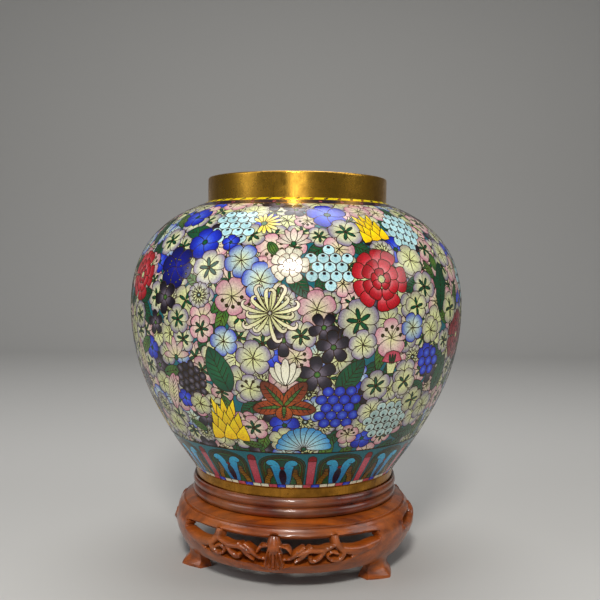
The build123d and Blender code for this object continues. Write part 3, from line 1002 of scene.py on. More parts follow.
def arrange(cells, low, high, grid):
    """Triangles of the strip, their owners, and the corner points. Owner 0 is the ground."""
    half = np.pi * BELLY
    corners = np.array([(-half, low), (half, low), (half, high), (-half, high)])
    across = np.arange(-half, half - grid / 2, grid)[1:]
    rows = []
    draw = np.random.default_rng(5)
    for k, s in enumerate(np.arange(low + grid, high - grid / 2, grid * 0.87)):
        rows.append(np.stack([across + (k % 2) * grid / 2, np.full(len(across), s)], -1))
    inner = np.concatenate(rows) if rows else np.zeros((0, 2))
    inner = inner + draw.uniform(-JITTER, JITTER, inner.shape) * grid
    inner = inner[np.abs(inner[:, 0]) < half - 0.4 * grid]
    upright = np.arange(low + grid, high - grid / 2, grid)
    seam = np.concatenate([
        np.stack([np.full(len(upright), x), upright], -1) for x in (-half, half)
    ])
    level = across[1:]
    rims = np.concatenate([np.stack([level, np.full(len(level), s)], -1) for s in (low, high)])
    outlines = [corners] + [c[0] for c in cells]
    sizes = np.array([len(o) for o in outlines])
    starts = np.concatenate([[0], np.cumsum(sizes)])
    faces = [list(range(starts[i], starts[i + 1])) for i in range(len(outlines))]
    points = np.concatenate(outlines + [inner, seam, rims])
    result = delaunay_2d_cdt([Vector(p) for p in points], [], faces, 1, CLOSE, True)
    flat = np.array([tuple(v) for v in result[0]])
    triangles = np.array([f for f in result[2] if len(f) == 3])
    held = [o for f, o in zip(result[2], result[5]) if len(f) == 3]
    inside = np.array([0 in h for h in held])
    owner = np.array([max(h) if h else -1 for h in held])
    middle = flat[triangles].mean(1)
    inside &= (middle[:, 1] > low) & (middle[:, 1] < high) & (np.abs(middle[:, 0]) < half)
    return flat, triangles[inside], owner[inside]


def borders(triangles, owner):
    """The edges whose two triangles have different owners."""
    edges = np.concatenate([triangles[:, [0, 1]], triangles[:, [1, 2]], triangles[:, [2, 0]]])
    source = np.tile(np.arange(len(triangles)), 3)
    edges = np.sort(edges, axis=1)
    order = np.lexsort((edges[:, 1], edges[:, 0]))
    edges, source = edges[order], source[order]
    same = (edges[1:] == edges[:-1]).all(1)
    first = np.flatnonzero(same)
    differ = owner[source[first]] != owner[source[first + 1]]
    return edges[first[differ]]


# %% Colour each corner from its owner's run of colour
MIDDLE_AT = 0.55


def corner_colours(flat, triangles, owner, cells):
    """Heart, middle and rim colours mixed by distance from the owner's heart over its reach."""
    runs = np.stack([RUNS["teal"]] + [c[1] for c in cells])
    hearts = np.stack([np.zeros(2)] + [c[2] for c in cells])
    reaches = np.array([1.0] + [c[3] for c in cells])
    points = flat[triangles]
    away = points - hearts[owner][:, None]
    away[..., 0] *= radius_at(points[..., 1]) / BELLY
    t = np.clip(np.hypot(away[..., 0], away[..., 1]) / reaches[owner][:, None], 0, 1)
    run = runs[owner]
    early = np.clip(t / MIDDLE_AT, 0, 1)[..., None]
    late = np.clip((t - MIDDLE_AT) / 0.45, 0, 1)[..., None]
    colour = run[:, None, 0] * (1 - early) + run[:, None, 1] * early
    colour = colour * (1 - late) + run[:, None, 2] * late
    colour = np.clip(colour, 0, 1)
    return np.concatenate([colour, np.ones((*colour.shape[:2], 1))], -1)


# %% Close the glass into a layer
SHEET_STEPS = 180
SHEET_ROW = 3


def closed_layer(flat, triangles, low, high, depth):
    """Outer points, inner points and faces. The strip's two ends are joined into a ring, and
    the inner face is a coarse sheet that shares the rims' bearings."""
    half = np.pi * BELLY
    points = flat.copy()
    points[np.abs(points[:, 0] - half) < 1e-4, 0] = -half
    keys = np.round(points, 3)
    _, keep, back = np.unique(keys, axis=0, return_index=True, return_inverse=True)
    back = back.ravel()
    triangles = back[triangles]
    points = points[keep]
    whole = (triangles[:, 0] != triangles[:, 1]) & (triangles[:, 1] != triangles[:, 2])
    whole &= triangles[:, 0] != triangles[:, 2]
    rims = []
    for s in (low, high):
        used = np.isin(np.arange(len(points)), triangles)
        rim = np.flatnonzero((np.abs(points[:, 1] - s) < 2e-3) & used)
        rims.append(rim[np.argsort(points[rim, 0])])
    count = len(points)
    ring_low, ring_high = rims
    inner = np.concatenate([points[ring_low], points[ring_high]])
    rows = max(int((high - low) / SHEET_ROW), 1)
    sheet_u = np.linspace(-half, half, SHEET_STEPS, endpoint=False)
    sheet_s = np.linspace(low, high, rows + 1)[1:-1]
    sheet = np.stack(np.meshgrid(sheet_u, sheet_s), -1).reshape(-1, 2)
    inner_all = np.concatenate([inner, sheet])
    a = count + np.arange(len(ring_low))
    b = count + len(ring_low) + np.arange(len(ring_high))
    first = count + len(inner)
    between = [first + k * SHEET_STEPS + np.arange(SHEET_STEPS) for k in range(rows - 1)]
    levels = [a] + between + [b]
    extra = []
    for rim, mate, flip in ((ring_low, a, False), (ring_high, b, True)):
        quads = np.stack([rim, mate, np.roll(mate, -1), np.roll(rim, -1)], -1)
        extra.append(quads[:, ::-1] if flip else quads)
    joined = [q for part in extra for q in part.tolist()]
    for below, above in zip(levels[:-1], levels[1:]):
        joined += zipped(below, above, inner_all, count)
    return points, inner_all, triangles[whole].tolist() + joined, whole


def zipped(below, above, places, offset):
    """Triangles between two rings with different counts, taking whichever next point is
    nearer in bearing; wound to face inwards."""
    past_end = 1e9
    bearings = places[:, 0]
    at_below, at_above = bearings[below - offset], bearings[above - offset]
    i = j = 0
    found = []
    while i < len(below) or j < len(above):
        next_below = at_below[i + 1] if i + 1 < len(below) else past_end
        next_above = at_above[j + 1] if j + 1 < len(above) else past_end
        if i < len(below) and (j >= len(above) or next_below <= next_above):
            found.append([below[i], above[j % len(above)], below[(i + 1) % len(below)]])
            i += 1
        else:
            found.append([below[i % len(below)], above[j], above[(j + 1) % len(above)]])
            j += 1
    return [[int(corner) for corner in corners] for corners in found]


# %% [markdown]
# ## The wires
# A cloison is a ribbon of copper on edge, ground flush with the glass and gilded. What shows
# is a line about half a millimetre wide that stands a hair above the glass, because glass
# shrinks as it cools. Each border edge becomes a low ridge, mitred where two edges meet.


# %% Ridges along edges
WIRE_WIDTH = 0.60
WIRE_CROWN = 0.07
WIRE_FOOT = -0.03
SHARPEST = 0.9
OVERRUN = 0.3
LINE_SHARE = 0.8
WELD = 2 * MM * 0.001


def ridges(starts, ends, start_miter, end_miter):
    """A ridge along each edge: left foot, crown and right foot at both ends. The feet lie a
    half width to each side along the mitre, a little under the glass."""
    rows = []
    for points, miter in ((starts, start_miter), (ends, end_miter)):
        scale = BELLY / radius_at(points[:, 1])
        offset = miter * np.stack([scale, np.ones(len(scale))], -1)
        rows += [
            on_wall(*(points - offset).T, WIRE_FOOT),
            on_wall(*points.T, WIRE_CROWN),
            on_wall(*(points + offset).T, WIRE_FOOT),
        ]
    count = len(starts)
    index = np.arange(count)[:, None] + np.arange(6) * count
    quads = np.concatenate([index[:, [1, 4, 3, 0]], index[:, [2, 5, 4, 1]]])
    return np.concatenate(rows), quads


def wires(flat, edges, width=WIRE_WIDTH):
    """Ridges for a network of edges. At a point with two edges the mitre is the sum m of their
    normals times 2 / |m|^2, so that the width stays even; elsewhere each edge ends square and
    runs on by OVERRUN of the width."""
    a, b = flat[edges[:, 0]], flat[edges[:, 1]]
    along = b - a
    along[:, 0] *= radius_at((a[:, 1] + b[:, 1]) / 2) / BELLY
    length = np.hypot(*along.T)
    keep = length > 1e-4
    edges, a, b, along, length = edges[keep], a[keep], b[keep], along[keep], length[keep]
    along /= length[:, None]
    normal = np.stack([along[:, 1], -along[:, 0]], -1)
    degree = np.bincount(edges.ravel(), minlength=len(flat))
    ends = np.concatenate([edges[:, 0], edges[:, 1]])
    which = np.argsort(ends, kind="stable")
    sorted_ends = ends[which]
    starts_at = np.searchsorted(sorted_ends, np.arange(len(flat)))
    two = np.flatnonzero(degree == 2)
    one, other = which[starts_at[two]], which[starts_at[two] + 1]
    count = len(edges)
    # A path through the point leaves along the second edge, so the first one is turned if it
    # starts here.
    sign_one = np.where(one >= count, 1.0, -1.0)
    sign_other = np.where(other < count, 1.0, -1.0)
    mean = normal[one % count] * sign_one[:, None] + normal[other % count] * sign_other[:, None]
    mean = mean * (2 / np.maximum((mean**2).sum(1), SHARPEST))[:, None]
    miter = np.concatenate([normal, normal]) * width / 2
    miter[one] = mean * sign_one[:, None] * width / 2
    miter[other] = mean * sign_other[:, None] * width / 2
    extend = (degree[edges] != 2) * OVERRUN * width
    shift = along * np.stack([BELLY / radius_at(a[:, 1]), np.ones(len(a))], -1)
    starts, ends = a - shift * extend[:, :1], b + shift * extend[:, 1:]
    return ridges(starts, ends, miter[:count], miter[count:])


def seen_lines(lines, flat, triangles, owner, numbers):
    """The parts of the free lines that lie on their own flower."""
    tree = BVHTree.FromPolygons([(x, y, 0.0) for x, y in flat], triangles.tolist())
    flower_of = np.concatenate([[-1], numbers])[owner]
    points, edges = [], []
    for path, number in lines:
        hit = [tree.find_nearest((x, y, 0.0))[2] for x, y in path]
        good = np.array([h is not None and flower_of[h] == number for h in hit])
        start = len(points)
        points += path.tolist()
        whole = np.flatnonzero(good[:-1] & good[1:])
        edges += [(start + i, start + i + 1) for i in whole.tolist()]
    return np.array(points), np.array(edges)


def sound(faces):
    """The faces with each corner once, without those that shrank to a line or come twice."""
    seen, kept = set(), []
    for face in faces.tolist():
        corners = list(dict.fromkeys(face))
        key = tuple(sorted(corners))
        if len(corners) > 2 and key not in seen:
            seen.add(key)
            kept.append(corners)
    return kept


# %% One band of enamel, from its cells to its two pieces
def enamel_band(name, node, slot, low, high, cells, lines, grid, width=WIRE_WIDTH, depth=1.0):
    """The glass layer that stands for a CAD band, and the wires in it."""
    cells = [c for c in cells if c[0][:, 1].max() > low and c[0][:, 1].min() < high]
    lines = [line for line in lines if line[0][:, 1].max() > low and line[0][:, 1].min() < high]
    flat, triangles, owner = arrange(cells, low, high, grid)
    colours = corner_colours(flat, triangles, owner, cells)
    points, inner, faces, whole = closed_layer(flat, triangles, low, high, depth)
    places = np.concatenate([on_wall(*points.T), on_wall(*inner.T, -depth)])
    glass = piece(name, places, faces, "vase", slot, ENAMEL, [node])
    corners = sum(len(f) for f in faces)
    shades = np.tile((*RUNS["teal"][0], 1.0), (corners, 1))
    front = colours[whole].reshape(-1, 4)
    shades[: len(front)] = front
    attribute = glass.data.color_attributes.new("enamel", "FLOAT_COLOR", "CORNER")
    attribute.data.foreach_set("color", shades.ravel())
    normals = np.concatenate([wall_normal(*points.T), -wall_normal(*inner.T)])
    glass.data.normals_split_custom_set_from_vertices(normals.tolist())
    ridge_points, ridge_faces = wires(flat, borders(triangles, owner), width)
    if lines:
        numbers = np.array([c[4] for c in cells])
        free, free_edges = seen_lines(lines, flat, triangles, owner, numbers)
        middles = free[free_edges].mean(1)[:, 1]
        free_edges = free_edges[(middles >= low) & (middles < high)]
        if len(free_edges):
            more_points, more_faces = wires(free, free_edges, LINE_SHARE * width)
            ridge_faces = np.concatenate([ridge_faces, more_faces + len(ridge_points)])
            ridge_points = np.concatenate([ridge_points, more_points])
    keys = np.round(ridge_points / WELD).astype(np.int64)
    _, keep, back = np.unique(keys, axis=0, return_index=True, return_inverse=True)
    ridge_faces = sound(back.ravel()[ridge_faces])
    piece(name + "_wires", ridge_points[keep], ridge_faces, "vase", "gilt_wire", WIRE)


# %% Grow the flower field
FIELD_LOW = s_at_height(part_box("wire_ring_lappets")[1].z / MM)
NECK_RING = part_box("wire_ring_neck")[1].x / MM
FIELD_HIGH = s_at_radius(NECK_RING)
GRID = 2.4
SPACING = 11.0
SEED = 3
field_cells, field_lines = garden_cells(GARDEN + BACK, FIELD_LOW, FIELD_HIGH, SPACING, SEED)
print("field", round(FIELD_LOW, 1), "to", round(FIELD_HIGH, 1), "mm,", len(field_cells), "cells")
belts = np.linspace(FIELD_LOW, FIELD_HIGH, 4)
for belt, low, high in zip(("lower", "belly", "shoulder"), belts[:-1], belts[1:]):
    enamel_band(
        "flowers_" + belt, "enamel_flower_field", "enamel_teal",
        low, high, field_cells, field_lines, GRID,
    )

# %% [markdown]
# ## The lappet band
# Round the foot hang fourteen lappets with a red bar between each two. A lappet is a dark
# green arch, with two blue leaves that part like a Y, a navy heart and a hatched brown leaf
# at each side.


# %% Draw one lappet and one bar
def lappet(width, height):
    """An arch as wide as its field, standing on the origin."""

    def arch(half, top, root=0.0):
        a = np.linspace(0, np.pi, 11)
        round_top = np.stack([half * np.cos(a), top - 0.62 * half * (1 - np.sin(a) ** 0.8)], -1)
        return np.concatenate([[(half * 0.80, root)], round_top, [(-half * 0.80, root)]])

    cells = [
        cell(arch(0.50 * width, height * 0.99), "leaf", (0, 0)),
        cell(arch(0.46 * width, height * 0.94), "olive", (0, 0)),
        cell(arch(0.41 * width, height * 0.89), "leaf_light", (0, 0)),
        cell(arch(0.37 * width, height * 0.84), "leaf", (0, 0)),
    ]
    lines = []
    size = np.array([width, height])
    for side in (-1, 1):
        mirror = size * np.array([side, 1])
        scroll = np.array([(0.36, 0.04), (0.33, 0.26), (0.26, 0.40), (0.29, 0.58)]) * mirror
        cells.append(cell(stroke(scroll, np.array([0.13, 0.12, 0.13, 0.07]) * width), "ochre"))
        for k in range(6):
            y = 0.10 + 0.075 * k
            lines.append(np.array([(0.23, y), (0.30, y + 0.015), (0.37, y + 0.05)]) * mirror)
    for side in (-1, 1):
        mirror = size * np.array([side, 1])
        blade = form_path([(0.03, 0.0), (0.10, 0.34), (0.12, 0.60), (0.21, 0.79), (0.31, 0.70)])
        t = np.linspace(0, 1, len(blade))
        widths = np.interp(t, [0, 0.3, 0.6, 0.85, 1], [0.16, 0.18, 0.21, 0.15, 0.07]) * width
        cells.append(cell(stroke(blade * mirror, widths), "aqua", (0, 0)))
    heart = petal(0.50 * height, 0.15 * width, 0.7, 0.5, 6, 0.06 * height)
    cells.append(cell(heart, "ink"))
    cells.append(cell(disc(0.05 * width, 0, 0.60 * height, 7), "crimson"))
    return cells, lines


def bar(width, height):
    """A tall bar with a round top and a dark red cap."""
    a = np.linspace(0, np.pi, 7)
    top = np.stack([0.5 * width * np.cos(a), height - 0.5 * width + 0.5 * width * np.sin(a)], -1)
    tall = np.concatenate([[(0.44 * width, -0.5)], top, [(-0.44 * width, -0.5)]])
    cap = np.concatenate([top, [(-0.5 * width, 0.84 * height), (0.5 * width, 0.84 * height)]])
    return [cell(tall, "rose", (0, 0)), cell(cap, "crimson")], []


LAPPETS = 14
FIRST_BAR = np.radians(7.5)
BAND_LOW = s_at_height(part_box("wire_ring_foot")[1].z / MM)
BAND_HIGH = s_at_height(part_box("wire_ring_lappets")[0].z / MM)
band_height = BAND_HIGH - BAND_LOW
pitch = 2 * np.pi * radius_at(BAND_LOW + 0.5 * band_height) / LAPPETS
band_cells, band_lines = [], []
for i in range(-1, LAPPETS + 1):
    for shape, offset, number in (
        (lappet(0.82 * pitch, 0.97 * band_height), 0.5, 2 * i),
        (bar(0.15 * pitch, 0.93 * band_height), 0.0, 2 * i + 1),
    ):
        u = (FIRST_BAR + (i + offset) * 2 * np.pi / LAPPETS - np.pi) * BELLY
        some, more = laid(shape, u, BAND_LOW, 0, number)
        band_cells += some
        band_lines += more
EDGING = 84
TILE_HEIGHT = 2.3
for i in range(EDGING):
    tile = np.array([(0, -1), (1, -1), (1, 1), (0, 1)])
    tile = tile * np.array([2 * np.pi * BELLY / EDGING, TILE_HEIGHT])
    tile = tile + np.array([(i / EDGING - 0.5) * 2 * np.pi * BELLY, BAND_LOW])
    glaze = ("royal", "white", "white", "rose")[i % 4]
    band_cells.append((tile, RUNS[glaze], tile.mean(0), 4.0, -2 - i))
enamel_band(
    "lappet_band", "enamel_lappet_band", "enamel_red",
    BAND_LOW, BAND_HIGH, band_cells, band_lines, GRID,
)

# %% [markdown]
# ## The two bands under the collar
# Close round the collar runs a yellow rope of slanting ovals, and outside it a dark band with
# small pink dots.

# %% The rope and the dotted band
ROPE_LOW = s_at_radius(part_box("enamel_rope_band")[1].x / MM)
ROPE_HIGH = table_s[-1] - 0.02
NECK_LOW = s_at_radius(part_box("enamel_neck_band")[1].x / MM)
NECK_HIGH = s_at_radius(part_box("wire_ring_rope")[1].x / MM)
ROPE_WIRE, NECK_WIRE = 0.3, 0.35
ROPE_TURNS = 44
NECK_DOTS = 30
around = np.pi * BELLY


def ground(low, high, run, heart, reach):
    """One cell that covers a whole band and a little more."""
    edge = around + 5
    outline = np.array([(-edge, low - 1), (edge, low - 1), (edge, high + 1), (-edge, high + 1)])
    return outline, RUNS[run], np.array(heart), reach, -1


rope_cells = [ground(ROPE_LOW, ROPE_HIGH, "yellow", [0.0, ROPE_LOW], 4.0)]
for i in range(ROPE_TURNS + 1):
    oval = turned(petal(3.6, 1.5, 0.5, 0.5, 5, -1.8), -52)
    strand = [cell(oval, "dark_red" if i % 2 else "ink")]
    u = (i / ROPE_TURNS * 2 - 1) * around
    rope_cells += laid((strand, []), u, (ROPE_LOW + ROPE_HIGH) / 2, 0, i)[0]
enamel_band(
    "rope_band", "enamel_rope_band", "enamel_yellow",
    ROPE_LOW, ROPE_HIGH, rope_cells, [], GRID, ROPE_WIRE,
)

neck_cells = [ground(NECK_LOW, NECK_HIGH, "night", [0.0, 0.0], 900.0)]
for i in range(NECK_DOTS + 1):
    dot = [cell(petal(2.6, 2.2, 0.5, 0.5, 5, -1.3), "rose"), cell(disc(0.45, 0, 0, 6), "cream")]
    u = (i / NECK_DOTS * 2 - 1) * around
    neck_cells += laid((dot, []), u, (NECK_LOW + NECK_HIGH) / 2, 0, i)[0]
enamel_band(
    "dotted_band", "enamel_neck_band", "enamel_navy",
    NECK_LOW, NECK_HIGH, neck_cells, [], GRID, NECK_WIRE,
)

# %% [markdown]
# ## The carved stand
# The three aprons are pierced and carved. The same triangulation cuts the openings: inside
# the panel's frame everything is open except the carved forms, which are strokes and leaves.
# Their surface is crowned, so each form catches its own light.


# %% The stand's outside line
def arc_through(a, b, c, count):
    """Points on the circle through three points, from the first to the last."""
    a, b, c = (np.asarray(p, float) for p in (a, b, c))
    ab, ac = b - a, c - a
    d = 2 * (ab[0] * ac[1] - ab[1] * ac[0])
    across = ac[1] * ab @ ab - ab[1] * ac @ ac
    along = ab[0] * ac @ ac - ac[0] * ab @ ab
    centre = a + np.array([across, along]) / d
    first, middle, last = (np.arctan2(*(p - centre)[::-1]) for p in (a, b, c))
    middle = first + (middle - first + np.pi) % (2 * np.pi) - np.pi
    last = middle + (last - middle + np.pi) % (2 * np.pi) - np.pi
    turn = np.linspace(first, last, count)
    return centre + np.hypot(*(a - centre)) * np.stack([np.cos(turn), np.sin(turn)], -1)


RING_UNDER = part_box("stand_seat_ring")[0].z / MM
APRON_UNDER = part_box("stand_apron_front")[0].z / MM
APRON_R, WIDEST_AT = 72.8, 28.0
SHOULDER = [(59.0, RING_UNDER), (68.8, RING_UNDER - 4.3), (APRON_R, WIDEST_AT)]
APRON = [(APRON_R, WIDEST_AT), (71.6, 19.0), (67.4, APRON_UNDER)]
ARC_POINTS = 40
arcs = [arc_through(*SHOULDER, ARC_POINTS), arc_through(*APRON, ARC_POINTS)[1:]]
outside = np.concatenate(arcs)[::-1]
apron_s = np.concatenate([[0], np.cumsum(np.hypot(*np.diff(outside, axis=0).T))])
apron_slope = np.gradient(outside, apron_s, axis=0)
apron_slope /= np.hypot(*apron_slope.T)[:, None]
APRON_LENGTH = apron_s[-1]
print("apron wall length", round(APRON_LENGTH, 1), "mm")

GROOVE_RADIUS = 67.6
GROOVE_DEPTH = 0.7
APRON_GRID = 0.8
upper = slice(ARC_POINTS, None)
GROOVE_S = float(np.interp(-GROOVE_RADIUS, -outside[upper, 0], apron_s[upper]))
wall_rows = np.linspace(0, APRON_LENGTH, int(APRON_LENGTH / APRON_GRID) + 1)
wall_rows = wall_rows[np.abs(wall_rows - GROOVE_S) > 2.0]
wall_rows = np.unique(np.concatenate([wall_rows, GROOVE_S + np.arange(-4, 5) * 0.4]))


def groove_lift(s):
    """A turned line round the shoulder: a groove between two low beads."""
    return GROOVE_DEPTH * np.interp(s - GROOVE_S, [-1.6, -0.8, 0, 0.8, 1.6], [0, 0.4, -1.0, 0.4, 0])


def apron_height_to_s(z):
    """Distance up the apron's outside line at a height."""
    return np.interp(z, outside[:, 1], apron_s)


def on_apron(bearing, s, lift):
    """Points of the apron: bearing from the front, s up its outside line, lift outwards."""
    r = np.interp(s, apron_s, outside[:, 0]) + lift * np.interp(s, apron_s, apron_slope[:, 1])
    z = np.interp(s, apron_s, outside[:, 1]) - lift * np.interp(s, apron_s, apron_slope[:, 0])
    return np.stack([r * np.sin(bearing), -r * np.cos(bearing), z], -1) * MM


# %% The carved forms of half a panel, in degrees and heights
Form = namedtuple("Form", "path widths height")
HALF_PANEL = [
    Form([(50, 25.6), (44, 23.0), (36, 22.2), (29, 25.2)], [2.0, 5.6, 5.4, 3.6], 2.6),
    Form([(49.5, 30.6), (51.5, 28.0), (50.0, 23.6)], [0.8, 2.4, 1.2], 2.0),
    Form([(43, 23.0), (39.5, 21.0), (35.0, 18.8)], [3.0, 3.8, 2.0], 2.2),
    Form([(27, 32.6), (27.5, 27.5), (31.5, 23.0), (29.5, 18.6), (25.0, 19.0)], [5.0, 4.4, 3.4, 3.0, 2.6], 2.8),
    Form([(25.0, 19.0), (22.8, 22.0), (25.5, 24.2), (28.0, 22.4)], [2.4, 2.2, 2.2, 2.6], 2.4),
    Form([(27, 27.8), (21, 24.4), (15.5, 25.4), (10.5, 22.6)], [3.0, 3.2, 3.4, 1.6], 2.4),
    Form([(22, 24.2), (18.8, 19.2), (15.8, 18.8), (16.0, 21.6)], [2.6, 3.0, 2.8, 2.4], 2.6),
    Form([(16.5, 27.2), (12.5, 21.6), (9.0, 18.4)], [2.8, 3.4, 1.2], 2.2),
    Form([(13.5, 27.2), (9.5, 23.4), (6.5, 19.8)], [2.2, 2.8, 1.4], 2.2),
    Form([(10.5, 22.6), (7.5, 20.4), (4.0, 19.8)], [1.8, 2.0, 1.6], 1.8),
]
MIDDLE_FORMS = [
    Form([(0, 28.0), (0, 22.0), (0, 14.4)], [6.0, 8.0, 10.4], 2.6),
    Form([(0, 31.9), (0, 29.4), (0, 25.4)], [5.6, 8.0, 5.8], 4.2),
    Form([(0, 26.6), (0, 21.0), (0, 14.6)], [1.6, 2.0, 2.6], 4.2),
]
PAIRED_FORMS = [
    Form([(1.0, 26.8), (1.5, 21.5), (2.1, 14.9)], [1.4, 1.8, 2.4], 3.8),
    Form([(1.9, 27.2), (2.9, 22.5), (4.1, 15.8)], [1.3, 1.8, 2.2], 3.3),
    Form([(2.6, 27.6), (5.8, 27.2), (7.4, 23.6)], [2.0, 2.4, 1.4], 2.6),
]
FRAME_TOP = [(4.0, 32.3), (15.0, 32.3), (30.0, 32.2), (45.0, 31.8)]
FRAME = [
    (51.0, 30.4), (51.4, 27.4), (49.0, 24.0), (41.0, 20.2), (32.0, 17.8), (20.0, 16.4), (8.0, 16.0)
]


def mirrored(form, side):
    """A form on one side of the panel's middle, or on the other."""
    return Form(np.array(form.path, float) * np.array([side, 1]), form.widths, form.height)


def panel_shapes():
    """The opening's outline and every form as a path with a width and a height. A width w
    ends in w sqrt(1 - x^8), where x runs from -1 to 1 along the path, so ends are blunt."""
    def flat(points):
        points = np.asarray(points, float)
        return np.stack([np.radians(points[:, 0]) * APRON_R, apron_height_to_s(points[:, 1])], -1)

    right = np.concatenate([np.array(FRAME_TOP), form_path(FRAME)])
    left = right[::-1] * np.array([-1, 1])
    opening = flat(np.concatenate([left, right]))[::-1]
    forms = [mirrored(form, side) for side in (1, -1) for form in HALF_PANEL]
    forms += MIDDLE_FORMS
    forms += [mirrored(form, side) for form in PAIRED_FORMS for side in (1, -1)]
    strokes = []
    for path, widths, height in forms:
        line = flat(form_path(path))
        t = np.linspace(0, 1, len(line))
        wide = np.interp(t, np.linspace(0, 1, len(widths)), widths)
        strokes.append((line, wide * np.sqrt(np.clip(1 - (2 * t - 1) ** 8, 0.12, 1)), height))
    return opening, strokes


# %% Carve one panel
APRON_HALF = np.radians(51.5)
WALL_DEPTH = 5.2
RECESS = 1.6
ROUNDNESS = 2.2
RAIL = np.array([30.6, 32.3])


def relief(points, strokes, on_wall_face):
    """Height of the carving: in a form, height (1 - d^ROUNDNESS)^(1/2) - RECESS, where d is
    the distance from its path over its half width. The forms rise to the plain wall over the
    heights of RAIL, and one that runs on over that wall never dips below it."""
    best = np.full(len(points), -RECESS)
    for line, wide, height in strokes:
        a, b = line[:-1], line[1:]
        along = b - a
        t = ((points[:, None] - a) * along).sum(-1) / np.maximum((along**2).sum(-1), 1e-9)
        t = np.clip(t, 0, 1)
        away = np.hypot(*np.moveaxis(points[:, None] - (a + t[..., None] * along), -1, 0))
        half = (wide[:-1] * (1 - t) + wide[1:] * t) / 2
        share = np.clip(away / half, 0, 1)
        crown = (np.sqrt(np.clip(1 - share**ROUNDNESS, 0, 1)) * height - RECESS).max(1)
        best = np.maximum(best, np.where(share.min(1) < 1, crown, -RECESS))
    rail = np.interp(points[:, 1], apron_height_to_s(RAIL), [-RECESS, 0.0])
    best = np.maximum(best, rail)
    return np.where(on_wall_face, np.maximum(best, 0.0), best)


def carved_apron(name, middle):
    """A pierced wall: front points on the relief, back points WALL_DEPTH behind the plain
    wall, and a strip of wall along every edge that only one triangle has."""
    opening, strokes = panel_shapes()
    half = APRON_HALF * APRON_R
    corners = np.array([(-half, 0), (half, 0), (half, APRON_LENGTH), (-half, APRON_LENGTH)])
    across = np.linspace(-half, half, int(2 * half / APRON_GRID) + 1)
    inner = np.stack(np.meshgrid(across, wall_rows), -1).reshape(-1, 2)
    outlines = [corners, opening] + [stroke(line, wide) for line, wide, _ in strokes]
    starts = np.concatenate([[0], np.cumsum([len(o) for o in outlines])])
    faces = [list(range(starts[i], starts[i + 1])) for i in range(len(outlines))]
    points = np.concatenate(outlines + [inner])
    result = delaunay_2d_cdt([Vector(p) for p in points], [], faces, 1, CLOSE, True)
    flat = np.array([tuple(v) for v in result[0]])
    kept, forms = [], []
    for face, held in zip(result[2], result[5]):
        if len(face) == 3 and 0 in held and (max(held) != 1):
            kept.append(face)
            forms.append(max(held) > 1 and 1 in held)
    triangles = np.array(kept)
    used, back = np.unique(triangles, return_inverse=True)
    triangles = back.reshape(triangles.shape)
    flat = flat[used]
    in_form = np.zeros(len(flat), bool)
    plain = np.zeros(len(flat), bool)
    forms = np.array(forms)
    in_form[triangles[forms].ravel()] = True
    plain[triangles[~forms].ravel()] = True
    lift = relief(flat, strokes, plain | ~in_form) + groove_lift(flat[:, 1])
    bearing = middle + flat[:, 0] / APRON_R
    front = on_apron(bearing, flat[:, 1], lift)
    behind = on_apron(bearing, flat[:, 1], -WALL_DEPTH)
    count = len(flat)
    edges = np.concatenate([triangles[:, [0, 1]], triangles[:, [1, 2]], triangles[:, [2, 0]]])
    key = np.sort(edges, axis=1)
    _, where, uses = np.unique(key, axis=0, return_index=True, return_counts=True)
    rim = edges[where[uses == 1]]
    walls = np.stack([rim[:, 1], rim[:, 0], rim[:, 0] + count, rim[:, 1] + count], -1)
    all_faces = triangles.tolist() + (triangles[:, ::-1] + count).tolist() + walls.tolist()
    places = np.concatenate([front, behind])
    made = piece(name, places, all_faces, "stand", "carved_hardwood", CARVED, ["stand_" + name])
    made.data.set_sharp_from_angle(angle=np.radians(48))


PANEL_TURN = np.radians(-8.5)
for i, side in enumerate(("front", "right", "left")):
    carved_apron("apron_" + side, PANEL_TURN + i * 2 * np.pi / 3)

# %% [markdown]
# ## The cabriole legs
# Between the aprons stand three legs. Each carries on the apron's outside line, draws in at
# the ankle and flares into a pointed toe. It is a loft: at every level the front and the back
# have their own radius and height, and the width changes on the way down.


# %% Loft one leg
FOOT_FRONT = [
    (66.6, 9.0), (66.3, 7.0), (66.9, 5.0), (68.4, 3.4), (70.2, 2.0), (71.0, 0.9), (71.0, 0.0)
]
FOOT_BACK = [
    (60.4, 9.0), (59.4, 7.0), (58.4, 5.0), (57.6, 3.2), (57.2, 1.8), (57.0, 0.9), (57.0, 0.0)
]
FOOT_WIDTH = [8.7, 8.9, 9.3, 9.8, 10.3, 10.5, 10.5]
POST_WIDTH = 8.5
TOE = 7.0
COLUMNS = 17


